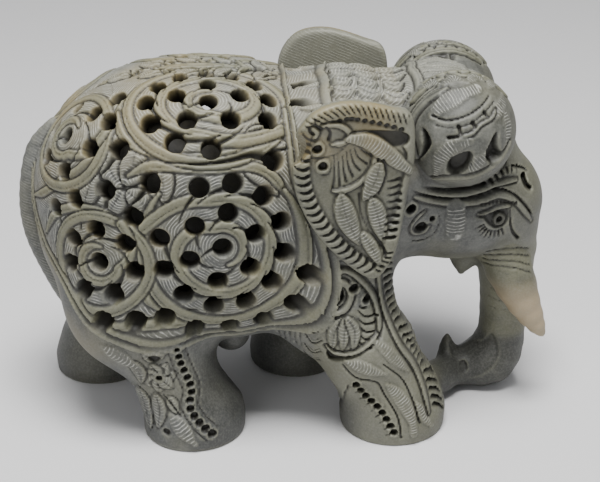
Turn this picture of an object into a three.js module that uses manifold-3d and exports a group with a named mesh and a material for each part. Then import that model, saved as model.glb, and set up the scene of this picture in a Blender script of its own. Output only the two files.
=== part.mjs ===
// A soapstone elephant, carved from one block: a walking figure whose blanketed barrel is hollowed out and pierced
// with scrolls of round holes, with a smaller elephant left standing inside it.
// Millimetres. +X runs forward to the tusks, +Y to the animal's left, +Z up. The feet stand on z = 0.
import * as THREE from "three";
import { mergeVertices } from "three/addons/utils/BufferGeometryUtils.js";
import Module from "manifold-3d";

const wasm = await Module();
wasm.setup();

// ---- driving dimensions ----
const BARREL = { centre: [-24, 0, 67.5], radii: [49.5, 35.5, 41.5], along: 2.3, across: 2.8 };
const WALL = 4.5; // stone left between the outside and the hollow
const HOLE = { radius: 2.8, sides: 5 }; // drilled holes of the lattice
const DRILLED = 10; // how deep they go from the surface, through into the hollow
const HEM_BAND = { width: 3.6, height: 1.6, sunk: 1 }; // raised hem of the blanket
const HAUNCH = { centre: [-42, 17, 44], radii: [24, 16, 26] };
const SHOULDER = { centre: [12, 18, 52], radii: [20.5, 15.5, 29] };
const NECK = { centre: [18, 0, 75], radii: [35, 31, 32] };
// The medallions of one flank. u and v are millimetres along the surface from the flank's middle, forward and up.
// Each has a hole at its middle, an outer ring, wide and tall, and an inner ring, a share of that size. A ring is its
// number of holes, the angle of the first and the step to the next, in degrees.
const MEDALLIONS = [
  { u: 3.5, v: 41.5, wide: 19.5, tall: 14.5, outer: [11, -30, 30], inner: [5, 16, 72], share: 0.54 },
  { u: 6, v: -0.5, wide: 17.8, tall: 18.8, outer: [11, 110, -30], inner: [6, 20, 60], share: 0.56 },
  { u: -29.5, v: -6, wide: 10.8, tall: 10.2, outer: [7, -10, 51.4], inner: [0, 0, 0], share: 0 },
  { u: -42.5, v: 31, wide: 12, tall: 11.2, outer: [6, -20, 60], inner: [0, 0, 0], share: 0 },
];
// Single holes on the right flank, in the corners between the medallions and in a row along the hem.
const CORNERS = [
  [20.5, 23], [-13, 18.5], [-18.5, 9], [-25.5, 16], [-36, 12.5], [-45, 8.5], [-21.5, 27], [-26.5, 35], [-26.5, 44],
  [28.5, -10], [25, -19], [17, -25.5], [7.5, -27], [-2.5, -26.5], [-10.5, -21.5], [-18, -22], [-26.5, -22.3],
];
// The left flank has wider spaced holes: a share as many in each ring, turned by an angle.
const LEFT_SHARE = 0.6;
const LEFT_TURN = 46;
const LEFT_CORNERS = [[-13, 19], [29, -9], [18, -25], [-3, -26.5], [-20, -22]];
// The hem on one flank, from the tail round the belly to the shoulder and up to the spine.
const HEM = [
  [-72, 22], [-64, 5], [-53, -9.5], [-40, -18], [-29, -25.5], [-14, -29.5], [2, -31.5], [14, -31.5], [24, -26],
  [30.5, -15], [33, -3], [31, 8], [28, 20], [28.5, 35], [33, 49], [41, 61],
];

// The right ear's outline in x and z, from its front upper corner over the top and down to the tip.
const EAR = [
  [37, 103], [28, 106.5], [17, 109.2], [8, 107.5], [2.5, 101], [1.2, 92], [2.5, 82.5], [7.2, 72], [15, 62],
  [24.5, 54.8], [30, 60.5], [32.5, 70], [34.5, 82], [38, 90],
];
const EAR_THICK = 5;
const EAR_RIM = 0.8; // how far the rim stands proud
const EAR_SIDES = 15;

const DOME = { centre: [50.5, 15, 93], radius: 16.5 };

// ---- solids from three.js geometry ----
function solid(geometry) {
  const flat = geometry.index ? geometry.toNonIndexed() : geometry.clone();
  for (const name of Object.keys(flat.attributes)) if (name !== "position") flat.deleteAttribute(name);
  const merged = mergeVertices(flat, 1e-4);
  const vertProperties = merged.attributes.position.array;
  const triVerts = new Uint32Array(merged.index.array);
  const made = new wasm.Manifold(new wasm.Mesh({ numProp: 3, vertProperties, triVerts }));
  if (made.volume() > 0) return made;
  // A shape that was mirrored on its way has its faces turned back to point out.
  return new wasm.Manifold(new wasm.Mesh({ numProp: 3, vertProperties, triVerts: triVerts.reverse() }));
}

function geometryOf(made) {
  const { numProp, vertProperties, triVerts } = made.getMesh();
  const geometry = new THREE.BufferGeometry();
  const points = new Float32Array((vertProperties.length / numProp) * 3);
  for (let i = 0; i * numProp < vertProperties.length; i++)
    points.set(vertProperties.subarray(i * numProp, i * numProp + 3), i * 3);
  geometry.setAttribute("position", new THREE.BufferAttribute(points, 3));
  geometry.setIndex(new THREE.BufferAttribute(triVerts, 1));
  return geometry;
}

const joined = (list) => list.reduce((all, one) => all.add(one));

// Every vertex of a geometry carried to a new place by a function of its old one.
function reshaped(geometry, place) {
  const position = geometry.attributes.position;
  const p = new THREE.Vector3();
  for (let i = 0; i < position.count; i++) {
    p.fromBufferAttribute(position, i);
    const q = place(p);
    position.setXYZ(i, q.x, q.y, q.z);
  }
  return geometry;
}

function ball(centre, radii, around = 16, down = 10) {
  return solid(new THREE.SphereGeometry(1, around, down).scale(...radii).translate(...centre));
}

// An upright tapering limb whose rings stay level, so that its foot is flat: stations are [z, x, y, radius].
function column(stations, sides = 12) {
  const last = stations.length - 1;
  const tube = new THREE.CylinderGeometry(1, 1, last, sides, last);
  return solid(
    reshaped(tube, (p) => {
      const [z, x, y, r] = stations[Math.round(p.y + last / 2)];
      return new THREE.Vector3(x + r * p.x, y - r * p.z, z);
    }),
  );
}

// A tapering limb bent along a smooth curve: stations are [x, y, z, radius], squash thins it along Y.
function limb(stations, sides = 10, squash = 1) {
  const curve = new THREE.CatmullRomCurve3(stations.map(([x, y, z]) => new THREE.Vector3(x, y, z)));
  const spans = stations.length - 1;
  const tube = new THREE.CylinderGeometry(1, 1, spans, sides, spans);
  return solid(
    reshaped(tube, (p) => {
      const s = p.y + spans / 2;
      const i = Math.min(Math.floor(s), stations.length - 2);
      const radius = THREE.MathUtils.lerp(stations[i][3], stations[i + 1][3], s - i);
      const t = s / (stations.length - 1);
      const along = curve.getTangent(t);
      const side = new THREE.Vector3(0, 1, 0).addScaledVector(along, -along.y).normalize();
      const up = side.clone().cross(along);
      return curve
        .getPoint(t)
        .addScaledVector(side, radius * squash * p.x)
        .addScaledVector(up, -radius * p.z);
    }),
  );
}

// ---- the barrel and the places on its flanks ----
// The barrel is a rounded box of revolution: k is 1 on its surface.
function barrelShare(direction) {
  const { along, across } = BARREL;
  const section = (Math.abs(direction.y) ** across + Math.abs(direction.z) ** across) ** (1 / across);
  return (section ** along + Math.abs(direction.x) ** along) ** (1 / along);
}

function onBarrel(direction, radii) {
  const [a, b, c] = radii;
  const k = barrelShare(direction);
  return new THREE.Vector3((a * direction.x) / k, (b * direction.y) / k, (c * direction.z) / k).add(
    new THREE.Vector3(...BARREL.centre),
  );
}

function barrel(radii, around, down) {
  const sphere = new THREE.SphereGeometry(1, around, down).rotateZ(Math.PI / 2);
  return solid(reshaped(sphere, (p) => onBarrel(p.clone(), radii)));
}

// How far a ray from the barrel's middle runs before it leaves a ball, or 0 if it misses it.
function leaves({ centre, radii }, ray, side) {
  const scale = new THREE.Vector3(...radii);
  const from = new THREE.Vector3(...BARREL.centre)
    .sub(new THREE.Vector3(centre[0], side * centre[1], centre[2]))
    .divide(scale);
  const along = ray.clone().divide(scale);
  const a = along.lengthSq();
  const b = from.dot(along);
  const root = b * b - a * (from.lengthSq() - 1);
  return root < 0 ? 0 : (Math.sqrt(root) - b) / a;
}

// The point of a flank at (u, v), pushed out along the ray from the barrel's middle. side is -1 right, 1 left.
function onFlank(u, v, side, out = 0) {
  const [a, , c] = BARREL.radii;
  const angle = Math.hypot(u / a, v / c);
  const s = angle < 1e-9 ? 1 : Math.sin(angle) / angle;
  const direction = new THREE.Vector3((s * u) / a, side * Math.cos(angle), (s * v) / c);
  const middle = new THREE.Vector3(...BARREL.centre);
  const toBarrel = onBarrel(direction, BARREL.radii).sub(middle);
  const ray = toBarrel.clone().normalize();
  const far = Math.max(toBarrel.length(), ...[HAUNCH, SHOULDER, NECK].map((one) => leaves(one, ray, side)));
  return middle.addScaledVector(ray, far + out);
}

// ---- the lattice ----
function medallionHoles({ u, v, wide, tall, outer, inner, share }) {
  const ring = ([count, first, step], size) =>
    Array.from({ length: count }, (_, i) => {
      const angle = THREE.MathUtils.degToRad(first + step * i);
      return [u + size * wide * Math.cos(angle), v + size * tall * Math.sin(angle)];
    });
  return [[u, v], ...ring(outer, 1), ...ring(inner, share)];
}

function drill(u, v, side) {
  const outside = onFlank(u, v, side, 3);
  const inside = onFlank(u, v, side, -DRILLED);
  const axis = outside.clone().sub(inside);
  const turned = new THREE.Quaternion().setFromUnitVectors(new THREE.Vector3(0, 1, 0), axis.clone().normalize());
  const bit = new THREE.CylinderGeometry(HOLE.radius, HOLE.radius, axis.length(), HOLE.sides);
  bit.applyQuaternion(turned);
  bit.translate(...outside.add(inside).multiplyScalar(0.5).toArray());
  return solid(bit);
}

// A raised band with a ridged back that follows a route of points on a flank: a three-sided tube laid on it.
function band(route, side, { width, height, sunk }) {
  const last = route.length - 1;
  const across = [[0, height], [width / 2, -sunk], [-width / 2, -sunk]]; // off the route, and out from the flank
  const tube = new THREE.CylinderGeometry(1, 1, last, across.length, last);
  return solid(
    reshaped(tube, (p) => {
      const i = Math.round(p.y + last / 2);
      const [u, v] = route[i];
      const before = route[Math.max(i - 1, 0)];
      const after = route[Math.min(i + 1, last)];
      const along = new THREE.Vector2(after[0] - before[0], after[1] - before[1]).normalize();
      if (Math.hypot(p.x, p.z) < 0.5) return onFlank(u, v, side, 0);
      const corner = Math.round((Math.atan2(p.x, p.z) / (2 * Math.PI) + 1) * across.length) % across.length;
      const [off, out] = across[corner];
      return onFlank(u - along.y * off, v + along.x * off, side, out);
    }),
  );
}

// ---- the outer animal ----
function legs() {
  const rightHind = [[0, -28, -20, 14.6], [4, -28, -20, 14.8], [10, -30, -20, 12], [22, -34, -19.5, 12.2],
    [33, -38, -18, 13.4], [44, -41, -15, 8]];
  const leftHind = [[0, -58, 21, 14.2], [4, -58, 21, 14.3], [10, -57.5, 21, 12], [22, -55, 20, 12],
    [33, -50, 18, 13.4], [44, -45, 15, 8]];
  const rightFront = [[0, 33, -20.5, 15.2], [5, 33, -20.5, 15.3], [12, 31.5, -21, 13.6], [26, 25, -21.5, 13.8],
    [38, 18, -19, 13.5], [50, 13, -15, 8]];
  const leftFront = [[0, 6, 21, 14.2], [4, 6, 21, 14.3], [10, 6, 21, 12.6], [22, 7, 21, 12.6],
    [36, 9, 18.5, 13.5], [50, 11, 15, 8]];
  return [rightHind, leftHind, rightFront, leftFront].map((stations) => column(stations));
}

function haunchesAndShoulders() {
  return [-1, 1].flatMap((side) => [
    ball([HAUNCH.centre[0], side * HAUNCH.centre[1], HAUNCH.centre[2]], HAUNCH.radii, 10, 7),
    ball([SHOULDER.centre[0], side * SHOULDER.centre[1], SHOULDER.centre[2]], SHOULDER.radii, 10, 7),
  ]);
}

function head() {
  const skull = [
    ball([52.5, 0, 66.5], [27, 21, 19.5], 14, 8),
    ball([54, 0, 84], [16, 17, 19], 12, 7),
    ball([46, 0, 94], [16, 20, 14], 10, 6),
    ball(NECK.centre, NECK.radii, 12, 7),
  ];
  const domes = [-1, 1].map((side) => {
    const [x, y, z] = DOME.centre;
    return ball([x, side * y, z], [DOME.radius, DOME.radius, DOME.radius], 14, 9);
  });
  return [...skull, ...domes];
}

function trunk() {
  const nose = limb(
    [[67, 0, 62, 12], [69.8, 0, 49, 9.6], [70.4, 0, 38, 7.8], [70.4, 0, 27, 7], [70.3, 0, 16, 7.4], [67, 0, 9.2, 8.6],
      [60, 0, 6.8, 6.6], [55.5, 0, 8, 4.8], [53.4, 0, 13, 2.4], [53.2, 0, 17, 0.8]], 8, 1.1);
  const lip = limb([[59, 0, 52, 5.5], [57, 0, 45, 3.6], [56.5, 0, 40, 1]], 6);
  const bridge = limb([[56, -2, 6.4, 5], [50, -7, 6.6, 4.8], [43, -13, 7.5, 5.2]], 7);
  const tusks = [-1, 1].map((side) =>
    limb([[65, side * 6, 55, 6.5], [69.5, side * 8.7, 45, 7.2], [74, side * 11.7, 35, 5.2],
      [78.2, side * 13.6, 27.5, 2.8], [80.2, side * 14.2, 24.4, 0.8]], 7));
  return [nose, lip, bridge, ...tusks];
}

// How far out from the middle plane the ear's middle layer lies: it flares towards its upper back corner.
function earOffset(x, z) {
  const back = THREE.MathUtils.clamp((36 - x) / 34, 0, 1);
  const up = THREE.MathUtils.clamp((z - 56) / 52, 0, 1);
  return 30 + 3.5 * back ** 0.8 + 4 * up * back;
}

// A dished plate inside the ear's outline, its rim rounded and standing proud.
function ear(side) {
  const outline = new THREE.SplineCurve([...EAR, EAR[0]].map(([x, z]) => new THREE.Vector2(x, z)));
  const middle = new THREE.Vector2(20, 84);
  const half = EAR_THICK / 2;
  const proud = half + EAR_RIM;
  // share of the outline and place across the thickness, from the back of the plate to its face
  const layers = [[0.93, -half], [1, -half / 2], [1, half / 2], [0.94, proud], [0.83, proud], [0.75, half]];
  const last = layers.length - 1;
  const plate = new THREE.CylinderGeometry(1, 1, last, EAR_SIDES, last);
  return solid(
    reshaped(plate, (p) => {
      const [share, out] = layers[Math.round(p.y + last / 2)];
      const turn = (Math.atan2(p.z, p.x) / (2 * Math.PI) + 1) % 1;
      const onEdge = Math.hypot(p.x, p.z) < 0.5 ? middle : outline.getPoint(turn);
      const at = middle.clone().lerp(onEdge, share);
      return new THREE.Vector3(at.x, side * (earOffset(at.x, at.y) + out), at.y);
    }),
  );
}

function tail() {
  return limb([[-66, 0, 92, 2], [-71.5, 0, 84, 3.2], [-74.6, 0, 70, 3.2], [-74, 0, 58, 3.2], [-69.5, 0, 46, 3.6],
    [-65, 0, 36, 3.4], [-63, 0, 32, 1.5]], 8);
}

// ---- the small animal inside, standing on the floor of the hollow ----
function innerElephant() {
  const floor = BARREL.centre[2] - BARREL.radii[2] + WALL;
  const foot = (x, y) => column([[floor - 2, x, y, 6], [floor + 4, x, y, 5], [floor + 18, x, y, 6]], 6);
  return [
    ball([-32, 0, 68], [29, 23, 26], 9, 6),
    ball([-3, 0, 77], [16, 16, 17.5], 9, 6),
    limb([[7, 0, 74, 6], [11, 0, 62, 4], [9, 0, 48, 3.4], [4, 0, 38, 3]], 6),
    foot(-48, -9), foot(-44, 9), foot(-16, -9), foot(-12, 9),
  ];
}

// ---- assembly ----
const body = joined([
  barrel(BARREL.radii, 18, 11), ...haunchesAndShoulders(), ...legs(), ...head(), ...trunk(), ear(-1), ear(1), tail(),
]);
const hems = [-1, 1].map((side) => band(HEM, side, HEM_BAND));
const hollow = barrel(BARREL.radii.map((r) => r - WALL), 12, 7);
const rightHoles = [...MEDALLIONS.flatMap(medallionHoles), ...CORNERS];
const leftMedallions = MEDALLIONS.map((m) => {
  const count = Math.round(m.outer[0] * LEFT_SHARE);
  return { ...m, outer: [count, m.outer[1] + LEFT_TURN, 360 / count], inner: [0, 0, 0] };
});
const leftHoles = [...leftMedallions.flatMap(medallionHoles), ...LEFT_CORNERS];
const drilled = [...rightHoles.map(([u, v]) => drill(u, v, -1)), ...leftHoles.map(([u, v]) => drill(u, v, 1))];
const belowGround = solid(new THREE.BoxGeometry(300, 200, 40).translate(0, 0, -20));
const shell = joined([body, ...hems]).subtract(hollow).subtract(joined(drilled)).subtract(belowGround);

const figure = new THREE.Mesh(
  geometryOf(shell.add(joined(innerElephant()))),
  new THREE.MeshStandardMaterial({ color: 0x8b8a80, roughness: 0.72, metalness: 0 }),
);
figure.name = "elephant";
// The origin is set below the middle of the whole figure.
figure.geometry.computeBoundingBox();
const middle = figure.geometry.boundingBox.getCenter(new THREE.Vector3());
figure.position.set(-middle.x, -middle.y, 0);

const part = new THREE.Group();
part.add(figure);
export default part;
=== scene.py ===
"""The carved soapstone elephant: one stone, its barrel hollowed and pierced, a smaller elephant inside.

The animal is a distance field in millimetres. Its carving is drawn on flat charts of its parts: the blanket,
the ears, the domes, the sides of the head and legs, and the top. The field is then meshed and finished.
"""

import bpy
import numpy as np
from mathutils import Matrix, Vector


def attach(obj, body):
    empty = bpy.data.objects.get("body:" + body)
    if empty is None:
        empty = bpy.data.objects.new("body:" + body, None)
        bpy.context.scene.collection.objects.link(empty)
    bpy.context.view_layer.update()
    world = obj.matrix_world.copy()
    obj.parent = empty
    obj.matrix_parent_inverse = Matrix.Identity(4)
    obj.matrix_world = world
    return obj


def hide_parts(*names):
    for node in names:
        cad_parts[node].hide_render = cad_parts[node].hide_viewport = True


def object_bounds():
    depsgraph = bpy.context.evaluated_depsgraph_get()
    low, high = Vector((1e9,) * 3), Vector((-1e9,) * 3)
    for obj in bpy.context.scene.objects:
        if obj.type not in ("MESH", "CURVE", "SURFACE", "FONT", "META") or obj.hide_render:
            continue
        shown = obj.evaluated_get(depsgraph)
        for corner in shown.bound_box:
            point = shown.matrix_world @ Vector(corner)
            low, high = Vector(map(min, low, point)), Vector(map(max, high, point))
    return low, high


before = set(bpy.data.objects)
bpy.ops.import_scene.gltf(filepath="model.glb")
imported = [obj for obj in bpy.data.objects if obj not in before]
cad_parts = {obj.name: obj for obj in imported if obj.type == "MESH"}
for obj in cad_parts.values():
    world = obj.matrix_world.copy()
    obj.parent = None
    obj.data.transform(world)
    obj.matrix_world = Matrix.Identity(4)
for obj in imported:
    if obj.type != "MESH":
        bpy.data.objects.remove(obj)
cad_low, cad_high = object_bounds()

MM = 0.001
STEP = 0.5  # spacing of the samples that the mesh is drawn through
ALL_TRIANGLES = 800000
FIELD_LOW, FIELD_HIGH = (-84, -46, -3), (88, 46, 114)  # the corners of the space that is sampled, mm

# ---------------------------------------------------------------- the animal's dimensions, mm
TUSK_TIP_X = 80.87  # the foremost point, which sets where the frame's origin lies
BARREL_C, BARREL_R = (-24, 0, 67.5), (49.5, 35.5, 41.5)
BARREL_ALONG, BARREL_ACROSS = 2.3, 2.8
WALL = 4.5
HOLE_R = 2.85
EAR = [  # its outline on x and z, from the upper front corner, against the clock
    (34.5, 103.2), (28, 106.5), (17, 109.2), (8, 107.5), (2.5, 101), (1.2, 92), (2.5, 82.5), (7.2, 72),
    (15, 62), (24.5, 54.8), (30, 60.5), (32.5, 70), (34, 82), (35.6, 91),
]
EAR_THICK = 5.0
DOME_C, DOME_R = (50.5, -15, 93), 16.5
# The blanket's medallions, on its chart. u, v, wide, tall: the middle, and the outer ring of holes' radii.
# outer, inner: how many holes each ring has, the first's angle in degrees, and the angle between them.
# share, ring: the radii of the inner ring of holes and of the ring vine, as shares of the outer ring's.
# bound, turn: the ring vine's first and last angle, and the angle where the winding vine leaves it.
MEDALLIONS = [
    dict(u=3.5, v=41.5, wide=19.5, tall=14.5, outer=(11, -30, 30), inner=(5, 16, 72), share=0.54, ring=1.27,
         turn=325, bound=(0, 360)),
    dict(u=6, v=-0.5, wide=17.8, tall=18.8, outer=(11, 110, -30), inner=(6, 20, 60), share=0.56, ring=1.27,
         turn=165, bound=(138, 400)),
    dict(u=-29.5, v=-6, wide=10.8, tall=10.2, outer=(7, -10, 51.4), inner=(0, 0, 0), share=0, ring=1.4,
         turn=60, bound=(0, 360)),
    dict(u=-42.5, v=31, wide=12, tall=11.2, outer=(6, -20, 60), inner=(0, 0, 0), share=0, ring=1.4,
         turn=10, bound=(0, 360)),
]
CORNERS = [  # holes between the medallions
    (20.5, 23), (-13, 18.5), (-18.5, 9), (-25.5, 16), (-36, 12.5), (-45, 8.5), (-21.5, 27), (-26.5, 35),
    (-26.5, 44), (28.5, -10), (25, -19), (17, -25.5), (7.5, -27), (-2.5, -26.5), (-10.5, -21.5), (-18, -22),
    (-26.5, -22.3),
]
LEFT_CORNERS = [(-13, 19), (29, -9), (18, -25), (-3, -26.5), (-20, -22)]
LEFT_SHARE, LEFT_TURN = 0.6, 46  # the left flank's rings have fewer holes, and are turned
HEM = [  # the blanket's lower and front edge, on its chart
    (-72, 22), (-64, 5), (-53, -9.5), (-40, -18), (-29, -25.5), (-14, -29.5), (2, -31.5), (15, -31.5),
    (26, -26.5), (33, -16), (34.5, -3), (32, 8), (28, 20), (28.5, 35), (33, 49), (41, 61),
]
HAUNCH = ((-42, -17, 44), (24, 16, 26))
SHOULDER = ((12, -18, 52), (20.5, 15.5, 29))
NECK = ((18, 0, 75), (35, 31, 32))
HEAD = [((52.5, 0, 66.5), (27, 21, 19.5)), ((54, 0, 84), (16, 17, 19)), ((46, 0, 94), (16, 20, 14))]
LEGS = [
    [((-28, -20, 0), 14.6), ((-28, -20, 4), 14.8), ((-30, -20, 10), 12), ((-34, -19.5, 22), 12.2),
     ((-38, -18, 33), 13.4), ((-41, -15, 44), 8)],
    [((33, -20.5, 0), 15.2), ((33, -20.5, 5), 15.3), ((31.5, -21, 12), 13.6), ((25, -21.5, 26), 13.8),
     ((18, -19, 38), 13.5), ((13, -15, 50), 8)],
    [((-58, 21, 0), 14.2), ((-58, 21, 4), 14.3), ((-57.5, 21, 10), 12), ((-55, 20, 22), 12),
     ((-50, 18, 33), 13.4), ((-45, 15, 44), 8)],
    [((6, 21, 0), 14.2), ((6, 21, 4), 14.3), ((6, 21, 10), 12.6), ((7, 21, 22), 12.6),
     ((9, 18.5, 36), 13.5), ((11, 15, 50), 8)],
]
TRUNK = [
    ((67, 0, 62), 12), ((69.8, 0, 49), 9.6), ((70.4, 0, 38), 7.8), ((70.4, 0, 27), 7), ((70.3, 0, 16), 7.4),
    ((67, 0, 9.2), 8.6), ((60, 0, 6.8), 6.6), ((55.5, 0, 8), 4.8), ((53.4, 0, 13), 2.4), ((53.2, 0, 17), 0.8),
]
LIP = [((59, 0, 52), 5.5), ((57, 0, 45), 3.6), ((56.5, 0, 40), 1)]
BRIDGE = [((56, -2, 6.4), 5), ((50, -7, 6.6), 4.8), ((43, -13, 7.5), 5.2)]
TUSK = [((65, -6, 55), 6.5), ((69.5, -8.7, 45), 7.2), ((74, -11.7, 35), 5.2), ((78.2, -13.6, 27.5), 2.8),
        ((80.2, -14.2, 24.4), 0.8)]
TAIL = [
    ((-66, 0, 92), 2), ((-71.5, 0, 84), 3.2), ((-74.6, 0, 70), 3.2), ((-74, 0, 58), 3.2), ((-69.5, 0, 46), 3.6),
    ((-65, 0, 36), 3.4), ((-63, 0, 32), 1.5),
]
CALF = [((-32, 0, 68), (29, 23, 26)), ((-3, 0, 77), (16, 16, 17.5))]
CALF_TRUNK = [((7, 0, 74), 6), ((11, 0, 62), 4), ((9, 0, 48), 3.4), ((4, 0, 38), 3)]
CALF_FEET = [(-48, -9), (-44, 9), (-16, -9), (-12, 9)]
CALF_FLOOR = 30.5


# ---------------------------------------------------------------- fields and curves
def smin(a, b, k):
    """The smaller of two fields, with a fillet of about k between them."""
    h = np.clip(0.5 + 0.5 * (b - a) / k, 0, 1)
    return b * (1 - h) + a * h - k * h * (1 - h)


def smax(a, b, k):
    return -smin(-a, -b, k)


def rise(t):
    """0 below 0, 1 above 1, and smooth between."""
    t = np.clip(t, 0, 1)
    return t * t * (3 - 2 * t)


def ellipsoid(p, centre, radii):
    q = (p - np.float32(centre)) / np.float32(radii)
    k0 = np.sqrt((q ** 2).sum(-1)) + 1e-9
    k1 = np.sqrt(((q / np.float32(radii)) ** 2).sum(-1)) + 1e-9
    return k0 * (k0 - 1) / k1


def rounded_barrel(p, radii):
    """A barrel squarer than an ellipsoid, with its rounder ends forward and back."""
    q = np.abs(p - np.float32(BARREL_C)) / np.float32(radii) + 1e-6
    x, y, z = q[..., 0], q[..., 1], q[..., 2]
    n, m = BARREL_ALONG, BARREL_ACROSS
    s = (y ** m + z ** m) ** (1 / m)
    k = (s ** n + x ** n) ** (1 / n)
    slope_s = (s / k) ** (n - 1)
    slope_x = (x / k) ** (n - 1) / radii[0]
    slope_y = slope_s * (y / s) ** (m - 1) / radii[1]
    slope_z = slope_s * (z / s) ** (m - 1) / radii[2]
    return (k - 1) / np.sqrt(slope_x ** 2 + slope_y ** 2 + slope_z ** 2)


def cone(p, a, b, radius_a, radius_b, squash):
    """A round-ended limb from a to b, squash times as wide across the animal as along it."""
    scale = np.float32([1.0, 1.0 / squash, 1.0])
    a, b = np.float32(a), np.float32(b)
    to_p = (p - a) * scale
    axis = (b - a) * scale
    t = np.clip((to_p @ axis) / (axis @ axis), 0, 1)
    return np.sqrt(((to_p - t[..., None] * axis) ** 2).sum(-1)) - (radius_a + (radius_b - radius_a) * t)


def limb(p, stations, blend, squash=1.0):
    """Cones end to end through stations of (place, radius)."""
    d = None
    for (a, radius_a), (b, radius_b) in zip(stations, stations[1:]):
        one = cone(p, a, b, radius_a, radius_b, squash)
        d = one if d is None else smin(d, one, blend)
    return d


def limb_near(p, stations, blend, squash=1.0, reach=9):
    """A limb's distance field near it, and reach further away."""
    places = np.array([place for place, _ in stations])
    widest = max(radius for _, radius in stations) * squash + reach
    near = ((p > places.min(0) - widest) & (p < places.max(0) + widest)).all(1)
    d = np.full(len(p), reach, np.float32)
    d[near] = limb(p[near], stations, blend, squash)
    return d


def smooth(stations, steps=4):
    """The same limb with more stations, in a smooth line."""
    return [(row[:3], row[3]) for row in curve([(*place, radius) for place, radius in stations], steps)]


def curve(points, steps, closed=False):
    """A smooth line through points, steps to each span."""
    p = np.array(points, float)
    n = len(p)
    out = []
    for i in range(n if closed else n - 1):
        if closed:
            a, b, c, d = p[i - 1], p[i], p[(i + 1) % n], p[(i + 2) % n]
        else:
            a, b, c, d = p[max(i - 1, 0)], p[i], p[i + 1], p[min(i + 2, n - 1)]
        for t in np.arange(steps) / steps:
            cubed = 3 * b - a - 3 * c + d
            out.append(0.5 * (2 * b + (c - a) * t + (2 * a - 5 * b + 4 * c - d) * t * t + cubed * t ** 3))
    if not closed:
        out.append(p[-1])
    return np.array(out)


def heading(angle):
    """One step in the direction of an angle in radians."""
    return np.array([np.cos(angle), np.sin(angle)])


def arc(radius, start, end):
    """Points of an arc about the middle of a chart, from one angle to another in degrees."""
    return radius * heading(np.radians(np.linspace(start, end, max(4, int(abs(end - start) / 12)) + 1))).T


# ---------------------------------------------------------------- charts that carving is drawn on
SPLIT_FROM = 1.95  # vines wider than this are cut into two strands by a fine line
CHART_STEP = 0.2
FAR = 9.0  # a distance to the nearest hole that stands for none


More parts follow.
